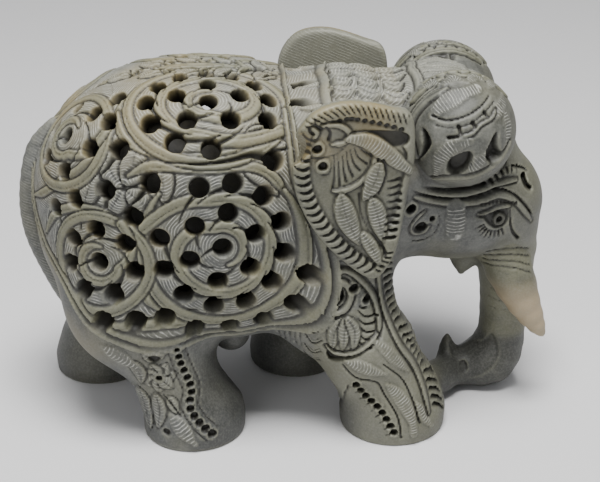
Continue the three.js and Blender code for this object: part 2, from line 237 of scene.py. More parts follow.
class Chart:
    """A flat drawing in millimetres: how high the stone stands, and how it is finished.

    height: out from the smooth form. pit: how deep in a dark recess, 0 to 1, darkened for patina and painted
    shade. vine: smooth warm stone, 0 to 1.
    scratched: how strongly fine scratches are cut, 0 to 1. scratch: the distance that they are counted by.
    bore: the distance to the edge of the nearest hole through the stone, negative inside it.
    """

    def __init__(self, low, high):
        self.low = np.array(low, float)
        shape = [int((b - a) / CHART_STEP) + 1 for a, b in zip(low, high)]
        axes = [start + CHART_STEP * np.arange(count) for start, count in zip(low, shape)]
        self.a, self.b = np.meshgrid(*axes, indexing="ij")
        for field in ("height", "pit", "vine", "scratched", "scratch"):
            setattr(self, field, np.zeros(shape, np.float32))
        self.bore = np.full(shape, FAR, np.float32)

    def window(self, points, margin):
        """The part of the drawing within margin of points, and its coordinates."""
        points = np.asarray(points)
        first = np.floor((points.min(0) - margin - self.low) / CHART_STEP).astype(int)
        last = np.ceil((points.max(0) + margin - self.low) / CHART_STEP).astype(int)
        first = np.clip(first, 0, np.array(self.height.shape) - 1)
        last = np.clip(last, 1, self.height.shape)
        w = (slice(first[0], last[0]), slice(first[1], last[1]))
        return w, self.a[w], self.b[w]

    def along(self, points, margin):
        """A line's window, and for each place there the distance along the line to its nearest point and the
        distance off it to the left; and the line's length."""
        points = np.asarray(points, float)
        w, a, b = self.window(points, margin)
        best = np.full(a.shape, 1e9)
        off = np.zeros(a.shape)
        s = np.zeros(a.shape)
        total = 0.0
        for p, q in zip(points, points[1:]):
            d = q - p
            length = np.hypot(*d)
            if length < 1e-6:
                continue
            ta, tb = d / length
            t = np.clip((a - p[0]) * ta + (b - p[1]) * tb, 0, length)
            ra, rb = a - p[0] - t * ta, b - p[1] - t * tb
            dist = ra * ra + rb * rb
            closer = dist < best
            best = np.where(closer, dist, best)
            off = np.where(closer, np.sqrt(dist) * np.sign(ta * rb - tb * ra + 1e-12), off)
            s = np.where(closer, total + t, s)
            total += length
        return w, s, off, total

    def lift(self, w, amount, height):
        """Raises the drawing to height where amount is 1, if it stands lower."""
        h = self.height[w]
        self.height[w] = np.where(height > h, h + amount * (height - h), h)

    def sink(self, w, amount, height, dark=1.0):
        """Cuts the drawing down to height where amount is 1, if it stands higher, and darkens the cut with
        patina and painted shade.
        """
        h = self.height[w]
        self.height[w] = np.where(height < h, h + amount * (height - h), h)
        self.pit[w] = np.maximum(self.pit[w], dark * amount)

    def plain(self, w, amount):
        """Takes the scratches off where amount is 1."""
        self.scratched[w] *= 1 - amount

    def band(self, points, width, height=0.4, ends=(1, 1), lip=0.5, warm=1.0, closed=False):
        """A flat-backed raised vine along a line, with grooves beside it; ends are shares of the width."""
        w, s, off, total = self.along(points, width)
        share = np.interp(s / total, [0, 0.12, 0.88, 1], [ends[0], 1, 1, ends[1]]) if not closed else 1
        half = width / 2 * share
        d = np.abs(off)
        groove = rise(1 - np.abs(d - half - 0.3) / 0.6)
        self.sink(w, groove * 0.95, -lip, 0.8)
        inside = rise((half + 0.1 - d) / 0.35)
        back = height * (1 - 0.5 * np.clip(d / (half + 0.15), 0, 1) ** 4)
        self.height[w] = self.height[w] * (1 - inside) + back * inside
        self.vine[w] = np.maximum(self.vine[w], warm * inside)
        self.pit[w] *= 1 - inside
        self.plain(w, rise((half + 0.7 - d) / 0.3))
        if width > SPLIT_FROM:
            line = rise(1 - np.abs(off + 0.16 * width) / 0.45) * inside * rise((half - 0.6) / 0.3)
            self.sink(w, line, height - 0.4, 0.3)

    def groove(self, points, width, depth=0.8, ends=(1, 1), dark=1.0, taper=1.0):
        """A cut along a line, narrowing to shares of its width at the ends, soon if taper is below 1."""
        w, s, off, total = self.along(points, width)
        share = ends[0] + (ends[1] - ends[0]) * (s / total) ** taper
        half = width / 2 * share
        cut = rise((half - np.abs(off)) / np.maximum(half, 0.25) * 1.4)
        self.sink(w, cut, -depth * np.sqrt(share), dark)
        self.plain(w, rise((half + 0.3 - np.abs(off)) / 0.3))

    def within(self, corners, margin=2.0):
        """A closed outline's window, and how far inside the outline each place is, negative outside it."""
        w, _, off, _ = self.along(np.concatenate([corners, corners[:1]]), margin)
        a, b = self.a[w], self.b[w]
        inside = np.zeros(a.shape, bool)
        for (pa, pb), (qa, qb) in zip(corners, np.roll(corners, -1, 0)):
            crosses = (pb > b) != (qb > b)
            inside ^= crosses & (a < pa + (b - pb) * (qa - pa) / (qb - pb + 1e-12))
        return w, np.abs(off) * np.where(inside, 1, -1)

    def hollow(self, points, depth, dark=1.0):
        """A deep recess with a closed outline."""
        w, deep = self.within(points)
        self.sink(w, rise(deep / 0.6 + 0.4), -depth, dark)
        self.plain(w, rise(deep / 0.3 + 1.5))

    def pit_at(self, a, b, radius, depth=1.2, ring=0.0, height=0.6):
        """A round pit, in a raised ring of that width if there is one."""
        w, x, y = self.window(np.array([[a, b]]), radius + ring + 0.8)
        d = np.hypot(x - a, y - b)
        if ring:
            mid = radius + ring / 2
            self.lift(w, rise((ring / 2 + 0.2 - np.abs(d - mid)) / 0.4), height)
            self.plain(w, rise((radius + ring + 0.3 - d) / 0.3))
        self.sink(w, rise((radius - d) / 0.45 + 0.5), -depth)
        self.plain(w, rise((radius + 0.3 - d) / 0.3))

    def leaf(self, points, width, height=0.7, pitch=0.95, scratched=1.0, skew=0.6, ends=(0.05, 0.05),
             rib=True, outline=0.5):
        """A leaf along its midrib: crowned halves, scratched across, with a vein down the middle."""
        w, s, off, total = self.along(points, width)
        t = s / total
        half = width / 2 * np.maximum(np.sin(np.pi * t ** 0.8) ** 0.7, np.interp(t, [0, 1], ends))
        d = np.abs(off)
        inside = rise((half - d) / 0.35)
        edge = rise(1 - np.abs(d - half - 0.2) / 0.5)
        self.sink(w, edge * 1.6 * outline, -0.45, outline)
        crown = height * np.sqrt(np.clip(1 - ((d - half * 0.45) / (half * 0.75 + 0.2)) ** 2, 0, 1))
        self.height[w] = np.where(inside > 0, self.height[w] * (1 - inside) + crown * inside, self.height[w])
        self.pit[w] *= 1 - inside
        self.vine[w] *= 1 - 0.6 * inside
        self.scratched[w] = self.scratched[w] * (1 - inside) + scratched * inside * rise((half - d) / 0.8)
        across = (s + skew * d * d / (half + 0.5)) * 0.95 / pitch
        self.scratch[w] = np.where(inside > 0.3, across, self.scratch[w])
        if rib:
            self.sink(w, rise(1 - d / 0.35) * inside * 0.8, 0.1, 0.5)

    def ladder(self, points, width, pitch=1.1, ends=(0.5, 0.5), skew=0.0, height=0.35):
        """A strip of fine strokes across a line, with no edge of its own."""
        self.leaf(points, width, height, pitch, 1, skew, ends, False, 0)

    def teeth(self, points, low, high, pitch, slant, share, depth, height):
        """Slots side by side along a line, from low to high off its left."""
        w, s, off, total = self.along(points, max(abs(low), abs(high)) + 1)
        pitch = total / round(total / pitch)
        phase = (s + slant * (off - low)) / pitch
        across = np.abs((phase % 1) - 0.5) * 2
        inside = rise((off - low) / 0.5) * rise((high - off) / 0.5) * rise(s / 0.4) * rise((total - s) / 0.4)
        slot = rise((across - (1 - share)) / 0.35)
        self.lift(w, inside * (1 - slot), height * np.sqrt(np.clip(1 - (across / (1.05 - share)) ** 2, 0, 1)))
        self.sink(w, inside * slot, -depth)
        self.plain(w, inside)

    @staticmethod
    def point_at(points, s, off):
        """The place at distance s along a line, and off to its left."""
        steps = np.hypot(*np.diff(points, axis=0).T)
        run = np.concatenate([[0], np.cumsum(steps)])
        i = int(np.clip(np.searchsorted(run, s) - 1, 0, len(steps) - 1))
        d = (points[i + 1] - points[i]) / steps[i]
        return points[i] + d * (s - run[i]) + off * np.array([-d[1], d[0]])

    @classmethod
    def beside(cls, points, distances, off):
        """A line through the places at distances along another line, and off to its left."""
        return np.array([cls.point_at(points, s, off) for s in distances])

    def drill(self, a, b, radius):
        """A hole right through, with no scratches at its edge."""
        w, x, y = self.window(np.array([[a, b]]), FAR)
        away = np.hypot(x - a, y - b) - radius
        self.bore[w] = np.minimum(self.bore[w], away)
        self.plain(w, rise((0.5 - away) / 0.3))

    def look(self, field, a, b):
        """A field's value at places on the chart, blended between its samples."""
        values = getattr(self, field)
        ia = np.clip((a - self.low[0]) / CHART_STEP, 0, values.shape[0] - 1.001)
        ib = np.clip((b - self.low[1]) / CHART_STEP, 0, values.shape[1] - 1.001)
        i, j = ia.astype(np.int32), ib.astype(np.int32)
        fa, fb = ia - i, ib - j
        return ((values[i, j] * (1 - fb) + values[i, j + 1] * fb) * (1 - fa)
                + (values[i + 1, j] * (1 - fb) + values[i + 1, j + 1] * fb) * fa)


# ---------------------------------------------------------------- the carving
CUT, BAND, LEAF, RUNGS, TEETH = Chart.groove, Chart.band, Chart.leaf, Chart.ladder, Chart.teeth


def draw(chart, steps, strokes):
    """Draws strokes, each given as its kind, the points that it runs smoothly through, and its sizes."""
    for kind, points, *sizes in strokes:
        kind(chart, curve(points, steps), *sizes)


def hole_places(m, share_of_holes, turn, inner):
    """Where a medallion's holes are: one at its middle, an outer ring, and an inner one if it's wanted.

    Where only a share of the outer ring's holes is drilled, they are spread evenly from the turned start.
    """
    def ring(count, first, step, size):
        angle = np.radians(first + step * np.arange(count))
        return list(zip(m["u"] + size * m["wide"] * np.cos(angle), m["v"] + size * m["tall"] * np.sin(angle)))

    count, first, step = m["outer"]
    if share_of_holes < 1:
        count = round(count * share_of_holes)
        first, step = first + turn, 360 / count
    places = [(m["u"], m["v"])] + ring(count, first, step, 1)
    return places + ring(*m["inner"], m["share"]) if inner else places


def swept(m, degrees, shares):
    """A line about a medallion's middle, at shares of its size."""
    out = heading(np.radians(degrees)) * shares
    return np.stack([m["u"] + m["wide"] * out[0], m["v"] + m["tall"] * out[1]], 1)


def medallion_vines(chart, m):
    """The ring vine round a medallion and the vine that winds in from it between the rings of holes."""
    start, end = m["bound"]
    ring = swept(m, np.linspace(start, end, 49), np.full(49, m["ring"]))
    chart.band(ring, 3, ends=(0.3, 0.3), closed=end - start == 360)
    winds = [0, 25, 60, 340, 410, 600] if m["share"] else [0, 70, 340]
    shares = [m["ring"], 1, 0.77, 0.75, 0.36, 0.3] if m["share"] else [m["ring"], 0.6, 0.48]
    sweep = np.linspace(0, winds[-1], 30)
    line = swept(m, m["turn"] - sweep, np.interp(sweep, winds, shares))
    chart.band(curve(line, 3), 3.4 if m["share"] else 2.6, ends=(1, 0.3))


def hole_tails(chart, m, places):
    """The long cut that runs on from each hole along the vine inside it, soon narrowing to a line."""
    size = (m["wide"] + m["tall"]) / 2
    for a, b in places[1:]:
        angle = np.degrees(np.arctan2((b - m["v"]) / m["tall"], (a - m["u"]) / m["wide"]))
        reach = np.hypot((a - m["u"]) / m["wide"], (b - m["v"]) / m["tall"])
        span = np.degrees(min(12.5, 9 * reach + 3) / (reach * size))
        t = np.linspace(0, 1, 10)
        line = swept(m, angle + span * t, reach - (1.1 + 2.7 * t) / size)
        chart.groove(line, 3.4, 1.6, (1, 0.13), taper=0.4)
    a, b = places[0]
    chart.groove(curve([(a, b), (a - 3.4, b - 0.6), (a - 6.2, b - 2.6)], 4), 3, 1.8, (1, 0.15), taper=0.6)


def corner_tail(chart, a, b, lean, length):
    """The tail of a hole between the medallions."""
    turn = np.radians(lean)
    along, side = heading(turn), heading(turn + np.pi / 2)
    t = np.linspace(0, 1, 5)[:, None]
    line = np.array([a, b]) + length * t * along + 1.3 * np.sin(2 * t) * side
    chart.groove(line, 3.8, 2, (1, 0.14), taper=0.6)


def ripples(chart):
    """Fine scratches that run round each medallion, so they are counted by the distance from its middle."""
    best = np.full(chart.a.shape, 1e9)
    for m in MEDALLIONS:
        reach = np.hypot((chart.a - m["u"]) / m["wide"], (chart.b - m["v"]) / m["tall"])
        angle = np.arctan2(chart.b - m["v"], chart.a - m["u"])
        waves = 0.45 * rise(reach * 2 - 0.6) * np.sin(angle * m["outer"][0])
        away = reach * (m["wide"] + m["tall"]) / 2 + waves
        chart.scratch = np.where(reach < best, away, chart.scratch).astype(np.float32)
        best = np.minimum(best, reach)
    chart.scratched[:] = 1


FLOWER = [  # the leaves between the medallions: each one's midrib and its width
    ([(-20.5, 17), (-24, 21.5), (-26.5, 28.5)], 6.8), ([(-20, 17.5), (-17.3, 23), (-17, 30)], 7.2),
    ([(-28.5, 20.5), (-31, 15), (-33, 9.5)], 6.4), ([(-20.5, 16), (-23, 12.5), (-26, 8.5)], 6),
    ([(-19.5, 16), (-15.5, 13), (-12.5, 10)], 6), ([(-10.5, 24.5), (-9.5, 18), (-9.5, 12.5)], 6),
    ([(12, 21.5), (18, 18.5), (21.5, 13.5)], 5), ([(13, 30.5), (19, 29.5), (24.5, 26)], 6),
]
BLANKET_VINES = [  # the vines that wind between the medallions
    [(-62, 9), (-52, 12), (-42, 17), (-34, 21), (-28, 27), (-25, 33), (-23, 41), (-19, 50), (-12, 58)],
    [(-24, 38), (-21, 31), (-16, 27.6), (-8, 25.2), (2, 24.6), (12, 26), (17.6, 28.4)],
    [(-19, 20), (-13, 22.6), (-5, 22.4), (4, 21.9), (12, 22.2), (19, 19.6), (24.6, 12.6)],
    [(-66, 28), (-60, 44), (-50, 53), (-36, 57), (-24, 60)],
    [(-52, -2), (-46, 6), (-38, 9.6), (-30, 10), (-23, 7.6), (-17.5, 3), (-15.5, -6), (-15.5, -15), (-10, -20)],
    [(-36, -20), (-26, -23.5), (-14, -23), (-4, -24), (6, -24.6), (16, -22), (24, -15)],
]
LONG_TAIL = [(20.5, 23), (14.5, 24.8), (8, 23.8), (0, 23.2), (-9, 23.8)]


def draw_blanket(corners, share_of_holes=1, turn=0):
    """The pierced blanket of one flank, on the barrel spread out flat."""
    chart = Chart((-84, -56), (72, 72))
    ripples(chart)
    per_medallion = [hole_places(m, share_of_holes, turn, share_of_holes == 1) for m in MEDALLIONS]
    places = [place for own in per_medallion for place in own] + list(corners)
    for line, width in FLOWER:
        chart.leaf(curve(line, 4), width, 0.7, outline=0.9)
    for a, b in corners:
        corner_tail(chart, a, b, np.degrees(np.arctan2(b - 6, a + 6)) + 100, 5 if a > 20 else 9)
    for line in BLANKET_VINES:
        chart.band(curve(line, 5), 2.6, 0.4, (0.3, 0.3))
    for m in MEDALLIONS:
        medallion_vines(chart, m)
    for m, own in zip(MEDALLIONS, per_medallion):
        hole_tails(chart, m, own)
    chart.groove(curve(LONG_TAIL, 5), 3.8, 2, (1, 0.12), taper=0.5)
    draw_spine(chart)
    hem = curve(HEM, 5)
    chart.band(hem, 2, 0.8, warm=0.5)
    chart.band(chart.beside(hem, np.linspace(1, 190, 60), 2.3), 1.3, 0.45, warm=0.8)
    for a, b in places:
        chart.drill(a, b, HOLE_R)
    _, deep = chart.within(np.concatenate([curve(HEM, 4), [(60, 90), (-100, 90), (-100, 22)]]), 60)
    chart.inside = rise(deep / 0.8 + 0.5).astype(np.float32)  # 1 inside the blanket's hem, 0 outside it
    chart.height = chart.height * chart.inside - 0.35 * (1 - chart.inside)
    chart.vine *= chart.inside
    chart.pit *= chart.inside
    chart.bore += FAR * (1 - chart.inside)
    draw_collar(chart)
    return chart


def draw_spine(chart):
    """The carving along the top of the back, up to the middle of it: waves of vine, leaves and deep slots."""
    for k in range(7):
        a = -64 + 15 * k
        b = 55 + 5 * rise((a + 66) / 30) - 3 * rise((a - 10) / 20)
        chart.leaf(curve([(a - 4, b - 4.6), (a + 1, b - 1.6), (a + 6, b - 3.4)], 4), 6.4, 0.5, outline=0.9)
        chart.leaf(curve([(a, b + 8.8), (a + 5, b + 5.6), (a + 11, b + 6.8)], 4), 6, 0.5, outline=0.9)
        chart.band(curve([(a - 9, b + 0.2), (a - 3, b + 5.4), (a + 4, b + 5), (a + 9, b + 0.4)], 5), 2.7, 0.5,
                   (0.6, 0.3))
        chart.groove(curve([(a + 2, b + 2.4), (a - 2.6, b + 3), (a - 8, b + 0.6)], 4), 4.6, 3, (1, 0.15),
                     taper=0.7)
        chart.groove(curve([(a + 7.4, b - 1), (a + 3.4, b - 1.6), (a - 1, b - 4.4)], 4), 3.6, 2.6, (1, 0.15),
                     taper=0.7)
    chart.band(curve([(-78, 40), (-66, 62.5), (-40, 64), (0, 64), (40, 64)], 6), 2.2)


def draw_collar(chart):
    """The neck in front of the blanket: a raised line, slots and long fine scratches."""
    outside = 1 - chart.inside
    slant = chart.b * 0.72 - chart.a * 0.7
    chart.scratch = np.where(outside > 0.5, slant, chart.scratch).astype(np.float32)
    chart.scratched = (chart.scratched * chart.inside + 0.9 * outside * (chart.b > 20)).astype(np.float32)
    for a, b, lean in [(34.5, 39.5, 60), (40.6, 48, 80), (45, 57, 90), (50, 66, 95)]:
        turn = np.radians(lean)
        line = [(a + 0.5, b), (a - 1.6 * np.sin(turn), b + 1.6 * np.cos(turn)), (a - 3.8, b + 1),
                (a - 5.2, b - 0.8)]
        chart.groove(line, 4.4, 3.2, (1, 0.3))
        chart.ladder([(a + 4, b - 3), (a + 1, b - 2.6), (a - 3, b - 2)], 2.6, 0.9, (0.6, 0.4))
    chart.band(curve([(38, 30), (40, 39), (46, 49), (53, 60), (60, 68)], 5), 1.8, 0.3, warm=0.3)


def draw_ear():
    """An ear's outer face, on x and z: a border of slanted cuts round a sunk field of leaves and a shell."""
    chart = Chart((-8, 44), (48, 119))
    outline = curve(EAR, 6, closed=True)
    _, _, off, _ = chart.along(np.concatenate([outline, outline[:1]]), 90)
    chart.edge = -off.astype(np.float32)  # the outline runs with the ear on its left
    depth = np.maximum(off, 0)
    # the field inside the border lies lower, and is scratched; along the border's foot it is darkened with
    # patina and painted shade
    border = 4.6 - 2.6 * rise((chart.a - 26) / 6) * rise((98 - chart.b) / 6)
    sunk = rise((depth - border) / 0.5)
    chart.height[:] = -1.0 * sunk
    chart.pit[:] = 0.75 * sunk * rise((border + 1.5 - depth) / 1.2)
    # the back border: slanted cuts, each with a dark end
    back = curve(EAR[3:10], 6)
    total = np.hypot(*np.diff(back, axis=0).T).sum()
    count = int(total / 2.55)
    for k in range(1, count):
        s = total * k / count
        t = np.linspace(0, 1, 6)
        line = [chart.point_at(back, *place) for place in zip(s - 1.1 + 1.6 * np.sin(2.2 * t), 0.5 + 3.9 * t)]
        chart.groove(line, 1.7, 1.6, (0.2, 1))
    # the top border: slanted strokes over a row of dots
    top = curve([(4, 104.5), (9, 107), (17, 108.6), (26, 106.6), (34, 103.8)], 6)
    chart.teeth(top, -3, 0.3, 1.75, slant=0.8, share=0.42, depth=0.6, height=0.4)
    for k in range(12):
        chart.pit_at(*chart.point_at(top, 5.6 + 2.25 * k, -4.0 - 0.04 * k), 0.8, 1.5)
    warm_border = rise((5.2 - depth) / 0.8) * rise((chart.b - 84) / 10) * rise((34 - chart.a) / 8)
    chart.vine = np.maximum(chart.vine, warm_border).astype(np.float32)
    # ringed pits and scrolls in the upper corner
    chart.band(curve([(6.6, 103), (8, 101.4), (7, 99.8)], 5), 1.3, 0.2, (0.5, 0.3), 1.2, 0.2)
    chart.band(curve([(9.4, 103.3), (14, 103), (17, 100.2), (15.4, 97.8), (12, 97.6)], 5), 1.5, 0.2, (0.5, 0.4),
               1.1, 0.3)
    chart.groove(curve([(10.4, 103), (11.6, 101), (11.2, 99)], 4), 2.4, 2, (0.4, 0.7))
    chart.pit_at(8.1, 96.6, 1.2, 2.2, 1, -0.1)
    chart.pit_at(9.7, 91.3, 1.2, 2.2, 1, -0.1)
    chart.groove(curve([(6.6, 94), (10, 93.8), (13.6, 94.6), (16, 96.6)], 5), 0.9, 1.6, (0.7, 0.4))
    chart.groove(curve([(9.6, 88.6), (11.4, 88.8), (12, 91)], 4), 1, 1.6, (0.8, 0.3))
    # the shell: flutes that hang and spread from its hinge
    for k in range(7):
        t = k / 6
        start = (12.8 + 6.6 * t, 93.8 + 2.6 * t)
        middle = (12.9 + 7.9 * t, 88 + 6.6 * t - 1.0 * np.sin(np.pi * t))
        end = (12.6 + 11.2 * t, 84.2 + 8.6 * t ** 1.5)
        chart.groove(curve([start, middle, end], 5), 1.15, 1.9, (0.35, 0.9), 0.9)
    chart.band(curve([(12.6, 83.4), (17, 83.8), (21.4, 86.6), (24, 91), (23.6, 96.4), (20, 98.2)], 5), 1.5,
               0.25, (0.4, 0.5), 1.2, 0.4)
    # the band that sweeps over the shell to the front edge, under a deep recess
    chart.hollow(curve([(16.5, 100.4), (22, 98.9), (28.5, 95.2), (33, 95.6), (33, 98.8), (26, 100.2),
                        (21, 100.6)], 4, True), 1.7)
    draw(chart, 5, [
        (LEAF, [(15.5, 99), (21.5, 98), (27, 94), (32, 89.5), (37, 86)], 5.2, 0.5, 1.1, 0.9, 0.2, (0.05, 0.05),
         False),
        # long leaves that hang to the tip
        (LEAF, [(25.6, 91.5), (24.4, 86), (21, 79.8)], 6, 0.4, 1.15, 1, 0.2),
        (LEAF, [(14.6, 83), (16.6, 75), (20.6, 66)], 6.4, 0.4, 1.15, 1, 0.2),
        (LEAF, [(23.4, 81), (25.6, 74), (27.2, 66.4)], 5.6, 0.4, 1.15, 1, 0.3),
        (LEAF, [(20.8, 70.4), (24, 65), (26.6, 59)], 4.2, 0.4, 1.15, 1, 0.3),
        (CUT, [(20, 82), (20.6, 76), (23.2, 70)], 1.2, 1.8, (0.8, 0.3)),
        (CUT, [(26.2, 66.6), (27.4, 64.4), (28, 62)], 2.6, 2.2, (0.4, 0.5)),
        (CUT, [(26.6, 92), (27.4, 87), (25.6, 81.6)], 2, 2, (0.4, 0.6)),
    ])
    front = curve([(31.4, 86.6), (31.6, 80), (31.2, 74), (30.4, 67.6)], 5)
    for k in range(9):
        s = 1.2 + 2.2 * k
        line = [chart.point_at(front, s + 0.5 * np.sin(2.2 * t), -3.4 * t) for t in (0, 0.35, 0.7, 1)]
        chart.groove(line, 1.5, 1.9, (1, 0.5))
    tip = curve([(30.8, 64), (29.6, 60), (26.4, 56.4)], 5)
    chart.teeth(tip, -2.6, -0.2, 2, 0.4, 0.5, 0.9, 0.3)
    return chart


def draw_dome():
    """A dome of the head, spread out flat about the middle of its outer side."""
    chart = Chart((-32, -32), (32, 32))
    chart.groove(curve([(-8, 21), (-15, 16.5), (-20.5, 9), (-21, 1), (-17.5, -5)], 6), 2.2, 1.8, (0.3, 0.6))
    chart.band(curve([(-6, 18.5), (-13, 14.5), (-18, 8), (-18.6, 1), (-15.8, -6)], 6), 2.6, 0.7, (0.3, 0.5),
               warm=0.2)
    # raised bars round the top of the dome and over its inner side
    for radius, start, end in [(25.4, 35, 95), (25.4, 108, 150), (30.6, 48, 128)]:
        chart.band(arc(radius, start, end), 2.8, 0.4, (0.5, 0.4), 1.2, 0.8)
    for k in range(9):
        turn = np.radians(40 + 12 * k)
        chart.groove([27 * heading(turn), 29.4 * heading(turn + 0.04)], 1.3, 1.2)
    # strokes over the top of the dome
    for a, b in [(-13, 21), (-4, 22), (5, 22.5), (13, 20)]:
        chart.ladder(curve([(a - 3.4, b - 1.4), (a, b + 1), (a + 3.4, b - 0.4)], 5), 5, 1.05, (0.5, 0.5), 0.5)
        chart.groove(curve([(a - 4.4, b + 3.4), (a - 0.6, b + 5.2), (a + 3.6, b + 3.6)], 5), 1.2, 1.1,
                     (0.4, 0.4))
    chart.ladder(curve([(8, 8.6), (12.4, 12), (15.4, 16)], 5), 5, 1.05, (0.5, 0.4))
    draw(chart, 6, [
        (RUNGS, [(-10.6, 9.5), (-8, 12.5), (-3, 15.5), (4, 18)], 6.4, 1.15, (0.6, 0.7)),
        # two grooves sweep over the brow, with a scalloped edge below
        (CUT, [(-10.8, 9.3), (-6, 8.2), (0, 9.8), (4.5, 12.4), (8, 15.4)], 1.3, 1.3, (0.6, 0.5)),
        (CUT, [(-9.6, 6.6), (-4.5, 6.1), (0.5, 7.4), (5, 10.2), (9.6, 13.6)], 1, 1, (0.5, 0.5)),
    ])
    for a, b, lean, length in [(-5.8, 3.2, 10, 3.6), (-2.9, 6.6, -75, 2.2), (1.2, 7.6, -60, 2),
                               (5.2, 10.4, -55, 2)]:
        chart.groove([(a, b), (a, b) + length * heading(np.radians(lean))], 1.9, 1.7, (0.8, 0.5))
    draw(chart, 6, [
        (BAND, [(-2.6, 3.6), (0.8, 4.4), (3.6, 6.8), (7.6, 8.6), (9.4, 11)], 0.9, 0.4, (0.4, 0.4), 0.5, 0.2),
        (RUNGS, [(0.5, 2.4), (-4.5, 0.6), (-7.8, -3.4), (-9, -10.5)], 5.2, 1.1, (0.5, 0.4)),
        (RUNGS, [(-1, -6.6), (2.4, -4.6), (6, -1)], 5.2, 1, (0.6, 0.4)),
        (RUNGS, [(13, 10), (13.6, 4), (12.5, -1.5)], 4.2),
    ])
    # deep recesses round the rim
    chart.hollow(curve([(-13.9, 5), (-13.4, -0.5), (-14.4, -5.6), (-12, -1.8), (-11, 1.6)], 5, True), 2.8)
    chart.hollow(curve([(-5.4, -4.6), (-5.4, -8), (-2.8, -9.4), (0.4, -6.2), (0.8, -0.9), (-3.4, -2)], 5, True),
                 3.2)
    chart.hollow(curve([(5.4, -2.4), (8, -5.8), (11.4, -3.6), (9.6, -0.6), (9, 4.2), (6.6, 1)], 5, True), 3)
    chart.band(curve([(-10, -13.4), (-5, -11.2), (1, -10.2), (7, -8), (12, -4.6), (14.5, 0)], 6), 2.3, 0.7,
               (0.4, 0.4), warm=0.3)
    return chart


def draw_head(chart):
    """The brow, the cheek and the eye."""
    folds = [
        ([(35.6, 83.6), (41, 79.7), (46.5, 77.5), (53, 77.4), (59, 78.7), (65, 81.4)], 1.5, 0.6),
        ([(34, 81.3), (39.6, 77.8), (45.2, 75.2), (51.5, 74.5), (57.5, 75.4), (63, 76.6), (69, 76)], 1.6, 0.7),
        ([(37, 76.6), (44.6, 73), (51, 71.9), (58, 72.4), (63.5, 73.2), (69.5, 69.4), (74.6, 62)], 1.7, 0.6),
    ]
    for line, width, height in folds:
        chart.band(curve(line, 6), width, height, (0.5, 0.3), warm=0.25)
    cuts = [
        ([(37.4, 84), (42, 80.4), (47.5, 78.7), (54, 78.8), (60, 80.2), (66.5, 84)], 1.5, 2),
        ([(34.6, 82.2), (40, 78.8), (45.5, 76.3), (52, 75.9), (58, 77), (61, 78)], 1.5, 2),
        ([(34, 80.2), (39.5, 76.6), (45, 74.2), (51, 73.1), (57, 73.9), (62.5, 74.9), (68, 72.2), (74, 65)],
         1.4, 1.9),
    ]
    for line, width, depth in cuts:
        chart.groove(curve(line, 6), width, depth, (0.5, 0.5))
    draw(chart, 6, [
        (TEETH, [(58.4, 77.6), (62, 79.4), (66, 80.4), (70, 79.4)], -2.2, 0.2, 1.9, 0.2, 0.45, 0.9, 0.5),
        (CUT, [(71.4, 76), (72.2, 73.6), (73.8, 72)], 2.4, 2.2, (0.9, 0.6)),
        (CUT, [(68, 79.6), (71, 78), (73.2, 76.6)], 1.5, 1.5, (0.6, 0.4)),
    ])
    # cheek: a ringed hole, a scroll and a block of strokes
    chart.pit_at(35.9, 73.2, 1.35, 2.6, 1.1, 0.6)
    chart.band(curve([(40.8, 71.2), (37.8, 69.2), (36.4, 66.6), (37.6, 64), (40.6, 63.6), (42.2, 65.6)], 6),
               0.9, 0.45, (0.3, 0.6), 0.5, 0)
    chart.hollow(curve([(37.9, 66.4), (38.3, 64.8), (40.6, 64.6), (41.2, 66.2), (39.6, 67.4)], 4, True), 1.9)
    chart.groove(curve([(44.2, 71), (45.2, 67), (43.8, 62.6), (40.6, 60.5), (37.4, 61)], 6), 0.8, 1, (0.3, 0.7))
    chart.pit_at(43, 67.8, 0.8, 1.4)
    chart.ladder([(50, 70.6), (50, 66.5), (50, 62.4)], 6.6, 1.25, (0.9, 0.9), 0.3, 0.3)
    # eye: a ball in a sunk almond, under a raised lid, with lashes below and a fold in front
    chart.hollow(curve([(58.4, 67.8), (60.2, 64.6), (63.4, 63), (66, 64.6), (65.8, 68.6), (62, 69)], 5, True),
                 1.2, 0.6)
    chart.pit_at(63.1, 66.1, 0.9, 0.6, 1.1, 0.5)
    chart.band(curve([(56.6, 68.4), (59.6, 68.9), (62.8, 69.8), (66.6, 69.6)], 6), 1, 0.7, (0.4, 0.5), 0.4, 0.2)
    chart.groove(curve([(57, 67.4), (59.8, 67.6), (62.6, 68.6), (65.8, 68.6)], 6), 1, 1.4, (0.5, 0.7))
    for k in range(8):
        out = heading(np.radians(196 + 14 * k))
        lash = (62.6, 65.8) + out * (4.2, 3.6)
        chart.groove([lash, lash + out * (2.6, 2.8)], 1, 1.1, (1, 0.3))
    chart.groove(curve([(66.7, 68.4), (67, 64), (68.4, 60), (70.6, 57)], 6), 1.5, 1.3, (0.4, 0.9))
    for k in range(10):
        chart.pit_at(57.6 + 1.2 * k, 71.2 + 0.45 * np.sin(0.35 * k) - 0.015 * k * k, 0.5, 0.8)
    for k in range(4):
        line = curve([(61, 52.8 - 1.7 * k), (66, 53.8 - 1.8 * k), (71, 53.4 - 1.9 * k), (75, 51.6 - 2 * k)], 4)
        chart.groove(line, 1, 0.7, (0.6, 0.5), 0.7)
    # trunk: a crescent over the curl and a pit in it
    chart.hollow(curve([(53.4, 15.6), (58, 14.6), (63.6, 17), (66.4, 21), (68, 14), (63, 7.4), (57, 7)], 5,
                       True), 0.5, 0.45)
    chart.groove(curve([(53.8, 14.6), (55.6, 11.6), (57, 9.4)], 5), 1.2, 0.9, (0.4, 0.8))
    chart.pit_at(57.4, 9.2, 1.5, 2.4)
    for k in range(6):
        line = np.array([(64.6, 47), (67.6, 46.2), (70.4, 46.8)]) - (0, 3.3 * k)
        chart.groove(line, 0.8, 0.4, (0.5, 0.5), 0.5)


